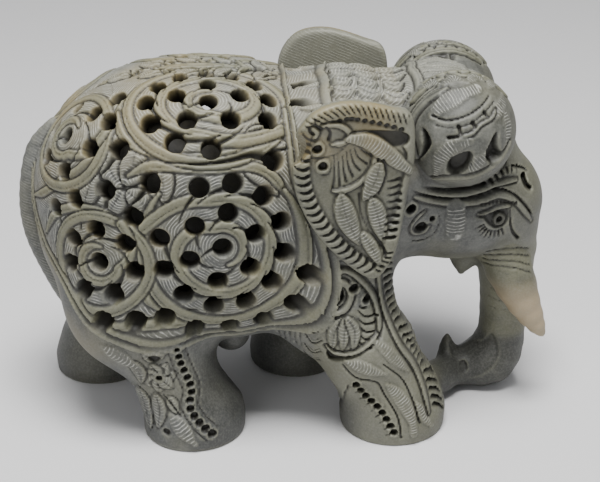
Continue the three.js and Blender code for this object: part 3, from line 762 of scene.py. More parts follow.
def draw_shoulder(chart):
    """The right shoulder and foreleg, down to the foot."""
    chart.band(curve([(10.5, 44), (9.6, 49), (12, 54.4), (16.4, 53.6), (18.4, 49.4), (16.6, 45.4),
                      (13.2, 44.2)], 6), 1.9, 0.9, (0.4, 0.6), 0.9, 0.3)
    chart.hollow(curve([(12, 52.2), (15.4, 51.9), (16.5, 48.6), (14.4, 46.6), (12.9, 47.6), (14.4, 50)], 5,
                       True), 2.4)
    chart.pit_at(19.2, 51.6, 1.3, 2, 0.9, 0.7)
    chart.pit_at(23.1, 47.4, 1.1, 1.8, 0.8, 0.6)
    chart.groove(curve([(20.8, 46), (21.6, 45.1), (23, 45.3)], 4), 0.9, 1.2, (0.5, 0.9))
    chart.band(curve([(12, 57.5), (17.4, 57.2), (22.4, 52.4), (25.6, 46.8), (27, 40), (26.6, 36)], 6), 1.6, 0.8,
               (0.4, 0.4), 0.8, 0.3)
    for k in range(5):
        b = 44.6 - 2.3 * k
        chart.groove(curve([(20.6 - 0.1 * k, b), (22.6, b - 2.2), (26.4 - 0.5 * k, b - 2.5)], 5), 1.2, 1.5,
                     (0.4, 0.8))
    for a, width in ((13.3, 4.2), (16.2, 3.8), (19.2, 3.6)):
        chart.leaf(curve([(16.8, 43.4), (a + 0.4, 38.4), (a - 0.2, 31.8)], 5), width, 0.7, 1.2, 0.7, 0.4)
    chart.band(curve([(11.4, 33), (14, 30.7), (18, 31), (22.6, 33.4), (26.4, 36.6)], 6), 1.2, 0.7, (0.4, 0.4),
               0.8, 0.2)
    chart.hollow(curve([(11.8, 30.6), (13, 27.6), (17.6, 29.4), (21.8, 31.6), (15, 29.8)], 5, True), 1.6, 0.8)
    for k in range(5):
        b = 41.5 - 4.6 * k
        chart.groove(curve([(5.2, b), (7.6, b - 4), (10.2, b - 2.2)], 4), 1.3, 1.4, (0.3, 0.5))
        chart.groove(curve([(6.2, b - 0.6), (8, b - 2.6), (9.8, b - 0.8)], 4), 0.8, 1, (0.4, 0.4))
    for k in range(5):
        chart.groove(curve([(4.4 - 1.6 * k, 40 - 1.4 * k), (4 - 1.5 * k, 35), (4.6 - 1.5 * k, 30.5)], 4), 0.9,
                     0.8, (0.4, 0.4), 0.7)
    # ladders of strokes between smooth bands
    draw(chart, 6, [
        (RUNGS, [(25.4, 35), (29.6, 31.4), (35.8, 23.8)], 3.8, 1.05, (0.5, 0.3), 0.3, 0.5),
        (RUNGS, [(17, 28.8), (22, 27.4), (29, 24.8)], 4.2, 1.05, (0.4, 0.3), 0.5, 0.6),
        (RUNGS, [(29, 21.4), (33.4, 16), (36.8, 9.6), (37.8, 4)], 4.6, 1.05, (0.3, 0.6), 0.3, 0.6),
        (RUNGS, [(38.4, 14), (40.8, 9), (43.6, 4.6)], 3.4, 1.05, (0.3, 0.4), 0.3, 0.6),
        (CUT, [(16.2, 27.2), (20, 23.6), (26, 22.2), (28.6, 17.4), (32.6, 10), (33.8, 3)], 1.3, 1.3,
         (0.5, 0.6)),
        (CUT, [(28, 28), (33.4, 22.4), (37, 15), (39.4, 7)], 1.2, 1.2, (0.5, 0.6)),
    ])
    dots = curve([(19.8, 21.6), (23, 17.2), (27.4, 12.4), (31.2, 6), (32.4, 2)], 6)
    for k in range(9):
        at = chart.point_at(dots, 0.8 + 2.45 * k, 0)
        chart.pit_at(*at, 1, 1.9, 0.7, 0.5)
        chart.groove([at, chart.point_at(dots, 1.4 + 2.45 * k, -3.2)], 1, 1, (0.8, 0.2))
    chart.groove(curve([(18.2, 20), (17.4, 14), (17, 6)], 6), 1.1, 1, (0.5, 0.5), 0.7)
    # the band of cuts down the front edge
    edge = curve([(30.6, 62), (31.4, 52), (34.4, 41), (39, 31), (43.6, 21.8), (46.4, 13), (48.4, 3)], 6)
    inner = curve([(26.6, 60), (27.2, 50), (28.6, 42.6), (32.2, 34), (37, 26), (40.4, 18), (42.6, 9)], 6)
    chart.band(inner, 1.3, 0.7, (0.5, 0.5), warm=0.5)
    for k in range(22):
        start = chart.point_at(inner, 1.5 + 2.45 * k, 1.9)
        end = chart.point_at(edge, 4.2 + 2.6 * k, 0.3)
        chart.groove([start, (start + end) / 2 + (0.2, 0.3), end], 1.5, 1.7, (1, 0.3))


def draw_hip(chart):
    """The right hind leg: a worn flower, leaves, a string of beads and ladders of strokes."""
    flower = (-37.6, 24.4)
    for k in range(7):
        chart.leaf([flower, flower + 5.4 * heading(np.radians(51 * k + 12))], 4.4, 0.6, 1.3, 0.5)
    chart.pit_at(*flower, 0.8, 1, 0.9, 0.8)
    for line, width in [
        ([(-42, 33), (-39, 31.6), (-35.4, 32.4)], 4), ([(-46, 30), (-43.4, 26), (-43, 21)], 4.4),
        ([(-44, 19), (-42.4, 12), (-41.2, 4)], 5), ([(-39, 18.6), (-38, 12.6), (-38.8, 6)], 4.4),
        ([(-35, 18), (-33.4, 14), (-31.8, 12.4)], 3.6),
    ]:
        chart.leaf(curve(line, 6), width, 0.6, 1.2, 0.6)
    chart.groove(curve([(-36.6, 18.4), (-32.6, 13), (-29.6, 7), (-27, 3.4)], 6), 1.1, 1.2, (0.5, 0.6), 0.8)
    chart.ladder(curve([(-34.6, 11.6), (-31.4, 7.6), (-27.6, 3)], 6), 5.6, 1.25, (0.4, 0.4), 0.2, 0.5)
    chart.pit_at(-36, 5.8, 1, 1.2)
    chart.hollow(curve([(-40.4, 31.6), (-38.8, 29.6), (-36.8, 31), (-38.6, 32.4)], 4, True), 1.3, 0.8)
    beads = curve([(-32.4, 34.6), (-30.8, 27.6), (-28.3, 20), (-29, 14.6), (-26.4, 9.6), (-21.4, 4.6)], 6)
    for k in range(13):
        chart.pit_at(*chart.point_at(beads, 1.1 + 2.55 * k, 0), 0.85 + 0.03 * k, 1.4, 0.7, 0.5)
    for side in (-2.5, 2.5):
        chart.groove(chart.beside(beads, np.linspace(0.5, 32, 18), side), 0.8, 0.7, (0.6, 0.6), 0.7)
    chart.ladder(curve([(-53.6, 33.6), (-48.6, 30.6), (-43.4, 27)], 5), 5.6, 1.3, (0.4, 0.4), 0.4, 0.4)


def draw_side(right):
    """The outer sides of the head and legs, on x and z. Each left leg has a string of beads and two leaves."""
    chart = Chart((-76, -4), (88, 114))
    draw_head(chart)
    if right:
        draw_shoulder(chart)
        draw_hip(chart)
    else:
        for line in [[(-62, 34), (-60, 22), (-60, 8)], [(2, 44), (3, 26), (3, 8)]]:
            beads = curve(line, 6)
            for k in range(10):
                chart.pit_at(*chart.point_at(beads, 1.5 + 2.6 * k, 0), 0.9, 1.3, 0.7, 0.5)
            for side in (3.5, 9):
                chart.leaf(chart.beside(beads, (2, 7, 12, 17), side), 4.6, 0.6, 1.15)
    return chart


def draw_top():
    """The top of the neck and of the head, on x and the distance from the middle."""
    chart = Chart((-20, -2), (80, 40))
    chart.scratched[:] = 0.7
    chart.scratch[:] = chart.b * 0.8 + np.abs((chart.a % 9) - 4.5) * 0.9
    for k in range(5):
        b = 1.5 + 4.6 * k
        for a in (14, 21.5, 29):
            chart.leaf(curve([(a + k % 2, b), (a + 3.6, b + 1.8), (a + 7.4 - k % 2, b + 0.6)], 4), 4.6, 0.8,
                       outline=0.9)
    chart.band(curve([(38.5, -1), (39.6, 8), (38.6, 16), (36.4, 24)], 5), 2.2, 0.5, warm=0.1)
    for k in range(6):
        chart.groove(curve([(41.5, 1 + 3.4 * k), (47, 2.4 + 3.2 * k), (53.5, 1.2 + 3 * k)], 4), 1.6, 1.5,
                     (0.4, 0.7))
        chart.ladder(curve([(43, 2.8 + 3.3 * k), (47.5, 3.9 + 3.2 * k), (52.5, 3 + 3 * k)], 4), 1.9, 0.9,
                     (0.6, 0.6))
    for k in range(6):
        chart.pit_at(56 + 0.4 * k, 1.4 + 2.8 * k, 0.9, 1.3)
    chart.teeth(curve([(58.5, 0), (59.2, 6), (57.8, 12)], 5), -4.5, -0.6, 1.4, 0.2, 0.5, 0.6, 0.4)
    return chart


# ---------------------------------------------------------------- the stone
TORSO, SIDE, ON_DOME, ON_EAR, ON_TUSK, ON_TAIL = range(6)  # the parts that are finished in their own ways
JOINS = dict(legs=6, head=6, dome=1.2, trunk=4, tusk=1.5, tail=1.5, ear=1.2)  # each part's fillet, in order


def spread_out(m, middle, radii):
    """Where places lie on the chart of an ellipsoid's right half, about the middle of its outer side."""
    q = (m - np.float32(middle)) / np.float32(radii)
    q = q / (np.sqrt((q ** 2).sum(-1)) + 1e-6)[:, None]
    turn = np.arccos(np.clip(-q[:, 1], -1, 1))
    spread = turn / np.maximum(np.sin(turn), 1e-4)
    return spread * radii[0] * q[:, 0], spread * radii[2] * q[:, 2]


class Places:
    """Places on the elephant, the same places moved to its right half, and where they lie on the charts."""

    def __init__(self, p):
        self.p = p
        self.right = p[:, 1] < 0
        self.half = p.copy()
        self.half[:, 1] = -np.abs(p[:, 1])
        self.x, self.side, self.z = p[:, 0], -self.half[:, 1], p[:, 2]
        self.blanket = spread_out(self.half, BARREL_C, BARREL_R)
        self.dome = spread_out(self.half, DOME_C, (DOME_R, DOME_R, DOME_R))

    def drawn(self, charts, field, a, b):
        """A value from the right flank's drawing or the left's, whichever side each place is on."""
        value = np.empty(len(a), np.float32)
        for chart, here in zip(charts, (self.right, ~self.right)):
            value[here] = chart.look(field, a[here], b[here])
        return value

    def on_blanket(self, field):
        return self.drawn(BLANKETS, field, *self.blanket)

    def on_sides(self, field):
        return self.drawn(SIDES, field, self.x, self.z)

    def room(self):
        """The distance to the hollow's wall, negative in the hollow."""
        return rounded_barrel(self.half, np.float32(BARREL_R) - WALL)


def ear_middle(m):
    """How far out the middle of an ear's plate is."""
    back = np.clip((36 - m[:, 0]) / 34, 0, 1)
    up = np.clip((m[:, 2] - 56) / 52, 0, 1)
    return 30 + 3.5 * back ** 0.8 + 4 * up * back


def calf(p):
    """The smaller elephant inside."""
    d = smin(ellipsoid(p, *CALF[0]), ellipsoid(p, *CALF[1]), 6)
    d = smin(d, limb(p, CALF_TRUNK, 3), 3)
    for x, y in CALF_FEET:
        leg = [((x, y, CALF_FLOOR + up), radius) for up, radius in ((-4, 6), (6, 5), (18, 6))]
        d = smin(d, limb(p, leg, 3), 3)
    return d


def parts(at):
    """Distances to the stone's parts with their carving on them, and to the torso without it."""
    p, m, x, side, z = at.p, at.half, at.x, at.side, at.z
    d = {}
    plain = smin(rounded_barrel(m, BARREL_R), ellipsoid(m, *HAUNCH), 5)
    plain = smin(smin(plain, ellipsoid(m, *SHOULDER), 6), ellipsoid(m, *NECK), 6)
    carving = at.on_sides("height")
    crown = TOP.look("height", x, side) * rise((z - 98) / 4)
    beyond_hem = 1 - at.on_blanket("inside")
    neck = carving * rise((side - 14) / 6) * rise((80 - z) / 5) + crown
    d["torso"] = plain - at.on_blanket("height") - neck * beyond_hem

    legs = np.min([limb(p, stations, 4) for stations in LEGS], 0)
    d["legs"] = legs - carving * rise((side - 14) / 6)
    head = smin(ellipsoid(m, *HEAD[0]), ellipsoid(m, *HEAD[1]), 6)
    head = smin(head, ellipsoid(m, *HEAD[2]), 5)
    d["head"] = head - carving * rise(side / 5) * rise((96 - z) / 6) - crown
    trunk = smin(limb_near(p, smooth(TRUNK, 2), 1, 1.1), limb_near(p, LIP, 3), 3)
    d["trunk"] = smin(trunk - carving * rise(side / 3), limb_near(p, BRIDGE, 3), 3)
    dome = np.sqrt(((m - np.float32(DOME_C)) ** 2).sum(-1)) - DOME_R
    d["dome"] = dome - DOME.look("height", *at.dome)

    d["ear"] = np.full(len(p), 8, np.float32)
    near = (x > -6) & (x < 46) & (z > 47) & (z < 117) & (side > 18)
    q = m[near]
    out = -q[:, 1] - ear_middle(q)
    lift = EAR_CHART.look("height", q[:, 0], q[:, 2])
    plate = np.abs(out - lift / 2) - (EAR_THICK + lift) / 2
    d["ear"][near] = smax(EAR_CHART.look("edge", q[:, 0], q[:, 2]), plate, 1.6)
    d["tusk"] = limb_near(m, smooth(TUSK, 2), 0.5) - carving * rise((z - 42) / 4)
    d["tail"] = limb_near(p, smooth(TAIL), 0.4)
    return d, plain


def animal(p):
    """The signed distance to the stone's surface, carved, hollowed and pierced."""
    at = Places(p)
    d, _ = parts(at)
    stone = d["torso"]
    for name, fillet in JOINS.items():
        stone = smin(stone, d[name], fillet)
    stone = smax(stone, -at.z, 0.5)
    stone = smax(stone, -at.room(), 0.4)
    bore = np.where(at.side > 6, at.on_blanket("bore"), FAR)
    return smin(smax(stone, -bore, 0.5), calf(p), 1.5)


BLOCK = 4  # samples along a block's edge
COARSE_CHUNK = 300000  # blocks that are looked at together
FINE_CHUNK = 6000  # blocks that are sampled together


def sample(low, high, step):
    """The field on a grid. Away from the surface only its sign is right."""
    shape = [int(np.ceil((b - a) / step / BLOCK)) for a, b in zip(low, high)]
    low = np.array(low, float)
    cells = np.stack(np.meshgrid(*map(np.arange, shape), indexing="ij"), -1).reshape(-1, 3)
    middles = (low + (cells * BLOCK + (BLOCK - 1) / 2) * step).astype(np.float32)
    groups = np.array_split(middles, max(1, len(middles) // COARSE_CHUNK))
    far = np.concatenate([animal(group) for group in groups])
    grid = np.kron(far.reshape(shape), np.ones((BLOCK, BLOCK, BLOCK), np.float32)).astype(np.float32)
    near = np.flatnonzero(np.abs(far) < BLOCK * step * 1.15 + 1.2)
    offsets = np.stack(np.meshgrid(*[np.arange(BLOCK)] * 3, indexing="ij"), -1).reshape(-1, 3)
    for start in range(0, len(near), FINE_CHUNK):
        index = (cells[near[start:start + FINE_CHUNK], None] * BLOCK + offsets).reshape(-1, 3)
        grid[index[:, 0], index[:, 1], index[:, 2]] = animal((low + index * step).astype(np.float32))
    return grid, low


def surface(grid, low, step):
    """Vertices and quads of the surface where the field is 0, with a vertex in each cell that it crosses."""
    inside = grid < 0
    nx, ny, nz = grid.shape
    corners = [(i, j, k) for i in (0, 1) for j in (0, 1) for k in (0, 1)]
    count = sum(inside[i:nx - 1 + i, j:ny - 1 + j, k:nz - 1 + k].astype(np.int8) for i, j, k in corners)
    cut = (count > 0) & (count < 8)
    cell = np.argwhere(cut)
    number = np.full(cut.shape, -1, np.int32)
    number[cut] = np.arange(len(cell))
    total, crossings = np.zeros((len(cell), 3)), np.zeros(len(cell))
    for a in corners:
        for axis in range(3):
            if a[axis]:
                continue
            b = list(a)
            b[axis] = 1
            va = grid[tuple((cell + a).T)]
            vb = grid[tuple((cell + b).T)]
            crossed = (va < 0) != (vb < 0)
            place = np.tile(np.array(a, float), (crossed.sum(), 1))
            place[:, axis] = va[crossed] / (va[crossed] - vb[crossed])
            total[crossed] += place
            crossings[crossed] += 1
    vertices = low + (cell + total / crossings[:, None]) * step
    quads = []
    for axis in range(3):
        first, second = [slice(None)] * 3, [slice(None)] * 3
        first[axis], second[axis] = slice(0, -1), slice(1, None)
        edge = np.argwhere(inside[tuple(first)] != inside[tuple(second)])
        j, k = (axis + 1) % 3, (axis + 2) % 3
        edge = edge[(edge[:, j] > 0) & (edge[:, k] > 0)]
        ring = []
        for back_j, back_k in ((1, 1), (0, 1), (0, 0), (1, 0)):
            at = edge.copy()
            at[:, j] -= back_j
            at[:, k] -= back_k
            ring.append(number[tuple(at.T)])
        quad = np.stack(ring, 1)
        flip = ~inside[tuple(edge.T)]
        quad[flip] = quad[flip][:, ::-1]
        quads.append(quad)
    return vertices, np.concatenate(quads)


def carved_at(at, choice, outward):
    """How each place is carved, from the chart of its part: pit, vine, scratched and scratch."""
    x, side, z = at.x, at.side, at.z
    facing = rise((side - np.where((x > 34) & (z > 30), 0, 14)) / 6)
    on_top = rise((z - 98) / 4)
    beyond_hem = (1 - at.on_blanket("inside")) * rise((80 - z) / 5)
    values = {}
    for field in ("pit", "vine", "scratched", "scratch"):
        blanket, sides, top = at.on_blanket(field), at.on_sides(field), TOP.look(field, x, side)
        if field == "scratch":  # a distance, which isn't blended
            torso = np.where(beyond_hem > 0.5, sides, blanket)
            sides = tusks = np.where(on_top > 0.5, top, sides)
        else:
            sides = sides * facing
            torso = blanket * (1 - beyond_hem) + sides * beyond_hem
            sides = sides * (1 - on_top) + top * on_top
            tusks = sides * rise((z - 42) / 4)
        ears = np.where(outward, EAR_CHART.look(field, x, z), 0)
        by_part = [torso, sides, DOME.look(field, *at.dome), ears, tusks]
        values[field] = np.select([choice == k for k in range(5)], by_part, 0)
    # the domes, ears, shoulders, trunk and tusks are of warmer stone than the cheeks and hips
    warmer = np.select([choice == ON_DOME, choice == ON_EAR, choice == ON_TUSK], [0.15, 0.45, 0.9], 0)
    warm_side = 0.45 * rise((x + 4) / 10) * rise((56 - z) / 8) + 0.4 * rise((x - 62) / 4)
    values["vine"] = np.maximum(values["vine"], np.where(choice == SIDE, warm_side, warmer))
    # the inner side of each ear and the tail are scratched along their length
    long_way = ((choice == ON_EAR) & ~outward) | (choice == ON_TAIL)
    values["scratched"] = np.where(long_way, 0.3, values["scratched"])
    values["scratch"] = np.where(long_way, z * 0.9 + x * 0.35, values["scratch"])
    return values


def finish_at(p):
    """How the stone is finished at places on its surface: carving, grain and part, three values each. The
    second holds the distance the scratches are counted by, painted shade inside the hollow and deep in the
    holes, and a yellower tone.
    """
    at = Places(p)
    x, side, z, right = at.x, at.side, at.z, at.right
    d, plain = parts(at)
    sides = np.min([d["legs"], d["head"], d["trunk"]], 0)
    choice = np.argmin([d["torso"], sides, d["dome"], d["ear"], d["tusk"], d["tail"]], 0)
    outward = side > ear_middle(at.half)
    values = carved_at(at, choice, outward)
    # painted shade: the hollow and the deep parts of the holes are painted dark, where little light reaches
    bored = rise((0.7 - at.on_blanket("bore")) / 0.5)
    inside = rise((0.6 - at.room()) / 1.2)
    inside = np.maximum(inside, np.where(side > 6, bored * rise((-plain - 0.4) / 3), 0))
    # the upper torso, the rear, the ears' upper borders and the holes' rims are yellower
    torso = choice == TORSO
    ear_border = outward * (choice == ON_EAR) * rise((z - 88) / 12) * rise((34 - x) / 10)
    warm = (0.5 * rise((z - 72) / 30) + 0.35 * rise((-50 - x) / 14)) * torso
    warm = warm + 0.4 * bored * rise((z - 30) / 50) + 0.9 * ear_border
    ivory = (choice == ON_TUSK) * rise((46 - z) / 12)
    # the trunk's end, the far legs towards the bottom, and the smooth backs of the near feet are darker: partly
    # darker stone, partly painted shade where less light reaches
    hind_heel = rise((x + 30) / 5) * rise((-6 - x) / 3) * rise((34 - z) / 12)
    fore_heel = rise((24 - x) / 6) * rise((17 - z) / 8) * (x > 10)
    trunk_end = rise((23 - z) / 5) * rise((x - 44) / 8) * (x > 46)
    dark = np.max([trunk_end, 0.5 * rise((40 - z) / 20) * ~right, 0.8 * (hind_heel + fore_heel) * right], 0)
    # painted light: the top of the back is painted paler, as light from above makes it, the trunk beside the
    # tusks is painted paler against the tusks' shade, and the right front leg is paler
    beside_tusks = 0.75 * rise((x - 60) / 4) * rise((z - 24) / 8) * rise((60 - z) / 8)
    foreleg = 0.35 * rise((x - 8) / 8) * rise((40 - x) / 4) * rise((50 - z) / 10) * right
    pale = rise((z - 84) / 18) * (choice != ON_DOME) + (beside_tusks + foreleg) * (choice == SIDE)
    carving = np.stack([values["pit"], values["vine"], values["scratched"]], 1)
    return carving, np.stack([values["scratch"], inside, warm], 1), np.stack([ivory, dark, pale], 1)


def column(rows, field, wide, kind=np.float32):
    """One field of a mesh's rows, in an array as wide as the field."""
    values = np.empty(len(rows) * wide, kind)
    rows.foreach_get(field, values)
    return values.reshape(-1, wide)


def attribute(mesh, name, values):
    """Adds one vector to each vertex, for the material to read."""
    made = mesh.attributes.new(name, "FLOAT_VECTOR", "POINT")
    made.data.foreach_set("vector", np.ascontiguousarray(values, np.float32).ravel())


def bend_of(places, normals, faces):
    """How the surface bends at each vertex: above 0 in a crease and below 0 on an edge."""
    a = faces[:, [0, 1, 2, 1, 2, 0]].ravel()
    b = faces[:, [1, 2, 0, 0, 1, 2]].ravel()
    away = places[b] - places[a]
    slope = (away * normals[a]).sum(1) / np.maximum(np.sqrt((away ** 2).sum(1)), 1e-6)
    count = np.maximum(np.bincount(a, minlength=len(places)), 1)
    bend = np.bincount(a, slope, len(places)) / count
    return 0.5 * bend + 0.5 * np.bincount(a, bend[b], len(places)) / count


PIECES = [  # each piece of the stone's mesh, and where its faces are, a face going to the first that holds it
    ("elephant_head", lambda x, y, z: x > 36),
    ("elephant_right_hip", lambda x, y, z: (x < -22) & (y < 0)),
    ("elephant_right_shoulder", lambda x, y, z: y < 0),
    ("elephant_left_hip", lambda x, y, z: x < -22),
    ("elephant_left_shoulder", lambda x, y, z: x <= 36),
]


def filled_mesh(name, vertices, faces):
    """A mesh from arrays of its vertices and of its faces, which all have as many corners."""
    mesh = bpy.data.meshes.new(name)
    mesh.vertices.add(len(vertices))
    mesh.vertices.foreach_set("co", np.ascontiguousarray(vertices, np.float32).ravel())
    mesh.loops.add(faces.size)
    mesh.loops.foreach_set("vertex_index", faces.astype(np.int32).ravel())
    mesh.polygons.add(len(faces))
    mesh.polygons.foreach_set("loop_start", np.arange(0, faces.size, faces.shape[1], dtype=np.int32))
    mesh.update(calc_edges=True)
    return mesh


def stone_mesh():
    """The whole elephant's surface in mm: places, the way it faces at each, and triangles."""
    grid, low = sample(FIELD_LOW, FIELD_HIGH, STEP)
    rough = bpy.data.objects.new("rough", filled_mesh("rough", *surface(grid, low, STEP)))
    bpy.context.scene.collection.objects.link(rough)
    thin = rough.modifiers.new("thin", "DECIMATE")
    thin.ratio = min(1, ALL_TRIANGLES / (2 * len(rough.data.polygons)))
    thinned = bpy.data.meshes.new_from_object(rough.evaluated_get(bpy.context.evaluated_depsgraph_get()))
    bpy.data.objects.remove(rough)
    thinned.calc_loop_triangles()
    return (column(thinned.vertices, "co", 3), column(thinned.vertex_normals, "vector", 3),
            column(thinned.loop_triangles, "vertices", 3, np.int32))


def carve(material):
    """Makes the elephant: one surface, in pieces that share their edges and the way they face there."""
    places, normals, faces = stone_mesh()
    bend = np.repeat(bend_of(places, normals, faces)[:, None], 3, 1)
    finish = dict(zip(("carving", "grain_and_shade", "part", "bend"), (*finish_at(places), bend)))
    middles = places[faces].mean(1)
    left = np.ones(len(faces), bool)
    for name, holds in PIECES:
        mine = left & holds(*middles.T)
        left &= ~mine
        used, own = np.unique(faces[mine], return_inverse=True)
        mesh = filled_mesh(name, (places[used] - np.float32([ORIGIN_X, 0, 0])) * MM, own.reshape(-1, 3))
        for title, values in finish.items():
            attribute(mesh, title, values[used])
        mesh.shade_smooth()
        mesh.normals_split_custom_set_from_vertices(normals[used])
        mesh.materials.append(material)
        piece = bpy.data.objects.new(name, mesh)
        bpy.context.scene.collection.objects.link(piece)
        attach(piece, "root")
        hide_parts("elephant")


# ---------------------------------------------------------------- finish
class Nodes:
    """A small help for building a node tree: each call adds a node and returns its output."""

    def __init__(self, tree):
        self.tree = tree

    def link(self, value, socket):
        if isinstance(value, bpy.types.NodeSocket):
            self.tree.links.new(value, socket)
        else:
            socket.default_value = value

    def make(self, kind, inputs, output=0, **settings):
        node = self.tree.nodes.new(kind)
        for name, value in settings.items():
            setattr(node, name, value)
        for key, value in inputs.items():
            self.link(value, node.inputs[key])
        return node.outputs[output]

    def math(self, operation, a, b=0.0):
        return self.make("ShaderNodeMath", {0: a, 1: b}, operation=operation)

    def times(self, a, b):
        return self.math("MULTIPLY", a, b)

    def mix(self, amount, a, b):
        return self.make("ShaderNodeMix", {0: amount, 6: a, 7: b}, 2, data_type="RGBA")

    def ramp(self, value, low, high, start=0.0, end=1.0):
        return self.make("ShaderNodeMapRange", {0: value, 1: low, 2: high, 3: start, 4: end})

    def noise(self, where, scale, detail, rough=0.55):
        inputs = {"Vector": where, "Scale": scale, "Detail": detail, "Roughness": rough}
        return self.make("ShaderNodeTexNoise", inputs)


def colour(r, g, b):
    return (r, g, b, 1.0)


SCRATCH_PITCH = 0.85  # mm between fine scratches
# The third colour on the next line is painted light, laid on the top of the back and the trunk beside the
# tusks, and a paler tone on the right front leg.
GREY_DARK, GREY_LIGHT, PALE_TONE_AND_PAINTED_LIGHT = (0.046, 0.048, 0.045), (0.108, 0.110, 0.101), (0.235, 0.235, 0.195)
BEIGE, VINE, YELLOW = (0.120, 0.116, 0.075), (0.130, 0.128, 0.076), (0.21, 0.165, 0.072)
# The second colour on the next line is darker stone, laid also as painted shade on the far legs and the backs
# of the near feet.
SCRATCH, DARK_STONE_AND_SHADE, IVORY = (0.44, 0.44, 0.40), (0.026, 0.027, 0.026), (0.31, 0.245, 0.155)
# Of the next three colours: the first makes raised edges paler, the second is patina and painted shade in
# creases and recesses, the third is painted shade inside the hollow and deep in the holes.
PALE_EDGE, CREVICE_PATINA_AND_SHADE, HOLLOW_SHADE = (0.27, 0.267, 0.195), (0.009, 0.008, 0.005), (0.012, 0.010, 0.006)


def soapstone():
    """The stone's material, which reads how each place was carved from the mesh's own values."""
    material = bpy.data.materials.new("soapstone")
    material.use_nodes = True
    n = Nodes(material.node_tree)
    shader = material.node_tree.nodes["Principled BSDF"]

    def split(name):
        source = material.node_tree.nodes.new("ShaderNodeAttribute")
        source.attribute_name = name
        axes = material.node_tree.nodes.new("ShaderNodeSeparateXYZ")
        material.node_tree.links.new(source.outputs["Vector"], axes.inputs[0])
        return axes.outputs

    pit, vine, scratched = split("carving")
    scratch, inside, warm = split("grain_and_shade")
    ivory, dark, pale = split("part")
    bend = split("bend")[0]
    where = n.make("ShaderNodeTexCoord", {}, "Object")
    broad = n.noise(where, 38, 3)
    patches = n.noise(where, 170, 4, 0.6)
    fine = n.noise(where, 1500, 5, 0.65)
    # fine scratches: crisp pale lines, unevenly spaced and worn away in places
    uneven = n.math("ADD", scratch, n.times(n.noise(where, 260, 3), 0.9))
    wave = n.math("SINE", n.times(uneven, 2 * np.pi / SCRATCH_PITCH))
    worn = n.ramp(n.noise(where, 330, 4, 0.6), 0.36, 0.56)
    line = n.times(n.times(n.ramp(wave, 0.4, 0.95), scratched), worn)
    between = n.times(n.ramp(wave, -0.3, -0.9), scratched)
    olive = n.math("ADD", n.times(n.ramp(patches, 0.3, 0.6), 0.35), 0.5)
    base = n.mix(n.ramp(patches, 0.38, 0.64), colour(*GREY_DARK), colour(*GREY_LIGHT))
    for amount, share, tone in [
        # painted light: the top of the back and the trunk beside the tusks are painted paler
        (n.ramp(broad, 0.44, 0.64), 0.55, BEIGE), (pale, 0.55, PALE_TONE_AND_PAINTED_LIGHT), (vine, olive, VINE),
        (warm, n.ramp(broad, 0.4, 0.62), YELLOW), (between, 0.35, GREY_DARK), (line, 0.75, SCRATCH),
        # darker stone with painted shade on the trunk's end, the far legs and the backs of the near feet
        (dark, 0.85, DARK_STONE_AND_SHADE), (ivory, 1.0, IVORY), (n.ramp(fine, 0.42, 0.8), 0.16, SCRATCH),
        # raised edges are made paler; creases are darkened with patina and painted shade
        (n.ramp(bend, -0.02, -0.17), 0.32, PALE_EDGE), (n.ramp(bend, 0.02, 0.17), 0.72, CREVICE_PATINA_AND_SHADE),
        # recesses are darkened with patina and painted shade, and the hollow and the deep parts of the holes
        # with painted shade
        (n.ramp(pit, 0.05, 0.85), 0.9, CREVICE_PATINA_AND_SHADE), (inside, 0.93, HOLLOW_SHADE),
    ]:
        base = n.mix(n.times(amount, share), base, colour(*tone))
    n.link(base, shader.inputs["Base Color"])
    n.link(n.ramp(patches, 0.3, 0.7, 0.45, 0.68), shader.inputs["Roughness"])
    bump = n.make("ShaderNodeBump", {"Strength": 0.5, "Distance": 0.00025, "Height": line}, "Normal")
    bump = n.make("ShaderNodeBump", {"Strength": 0.25, "Distance": 0.0002, "Height": fine, "Normal": bump},
                  "Normal")
    n.link(bump, shader.inputs["Normal"])
    return material


def plain_material(name, tone, rough):
    material = bpy.data.materials.new(name)
    material.use_nodes = True
    shader = material.node_tree.nodes["Principled BSDF"]
    shader.inputs["Base Color"].default_value = colour(*tone)
    shader.inputs["Roughness"].default_value = rough
    return material


# ---------------------------------------------------------------- the scene
ORIGIN_X = TUSK_TIP_X - cad_high.x / MM  # the frame's origin is under the middle of the whole elephant

BLANKETS = (draw_blanket(CORNERS), draw_blanket(LEFT_CORNERS, LEFT_SHARE, LEFT_TURN))
SIDES = (draw_side(True), draw_side(False))
DOME = draw_dome()
EAR_CHART = draw_ear()
TOP = draw_top()

carve(soapstone())


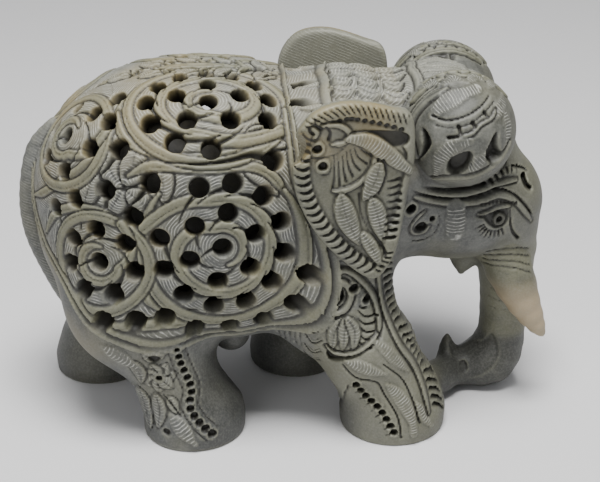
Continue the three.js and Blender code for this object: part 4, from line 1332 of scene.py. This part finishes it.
# ---------------------------------------------------------------- floor, light and camera
FLOOR_REACH, FLOOR_TONE = 6.0, (0.68, 0.68, 0.69)
ROOM_LIGHT, ROOM_TONE = 0.33, (0.98, 0.99, 1.0)
AIM = Vector(((6 - ORIGIN_X) * MM, 0, 52 * MM))  # the middle of the picture
VIEW_AZIMUTH, VIEW_ELEVATION, VIEW_DISTANCE = np.radians(-4), np.radians(25), 0.430
LENS, SENSOR = 84, 36


def stage(name, data):
    """An object that belongs to the studio."""
    made = bpy.data.objects.new(name, data)
    bpy.context.scene.collection.objects.link(made)
    return made


def point_from(thing, place, towards):
    """Puts a light or the camera at a place, and faces it towards another."""
    thing.location = place
    thing.rotation_mode = "QUATERNION"
    thing.rotation_quaternion = (towards - place).to_track_quat("-Z", "Y")


def softbox(name, place, power, size, tone):
    """A square light that faces the elephant."""
    lamp = bpy.data.lights.new(name, "AREA")
    lamp.energy = power
    lamp.size = size
    lamp.color = tone
    point_from(stage(name, lamp), Vector(place), AIM)


floor = bpy.data.meshes.new("floor")
corners = [(x * FLOOR_REACH, y * FLOOR_REACH, 0) for x, y in ((-1, -1), (1, -1), (1, 1), (-1, 1))]
floor.from_pydata(corners, [], [(0, 1, 2, 3)])
floor.materials.append(plain_material("floor", FLOOR_TONE, 0.8))
stage("floor", floor)

world = bpy.data.worlds.new("studio")
bpy.context.scene.world = world
world.use_nodes = True
world.node_tree.nodes["Background"].inputs["Color"].default_value = colour(*ROOM_TONE)
world.node_tree.nodes["Background"].inputs["Strength"].default_value = ROOM_LIGHT

softbox("key", (0.0, -0.2, 0.88), 14.2, 0.36, (1.0, 0.995, 0.98))
softbox("fill", (-0.5, -0.8, 0.35), 2.0, 0.5, (1.0, 1.0, 1.0))

camera_data = bpy.data.cameras.new("camera")
camera_data.lens = LENS
camera_data.sensor_width = SENSOR
camera_data.clip_start, camera_data.clip_end = 0.01, 20
camera = stage("camera", camera_data)
level = np.cos(VIEW_ELEVATION)
back = Vector((np.sin(VIEW_AZIMUTH) * level, -np.cos(VIEW_AZIMUTH) * level, np.sin(VIEW_ELEVATION)))
point_from(camera, AIM + back * VIEW_DISTANCE, AIM)
bpy.context.scene.camera = camera
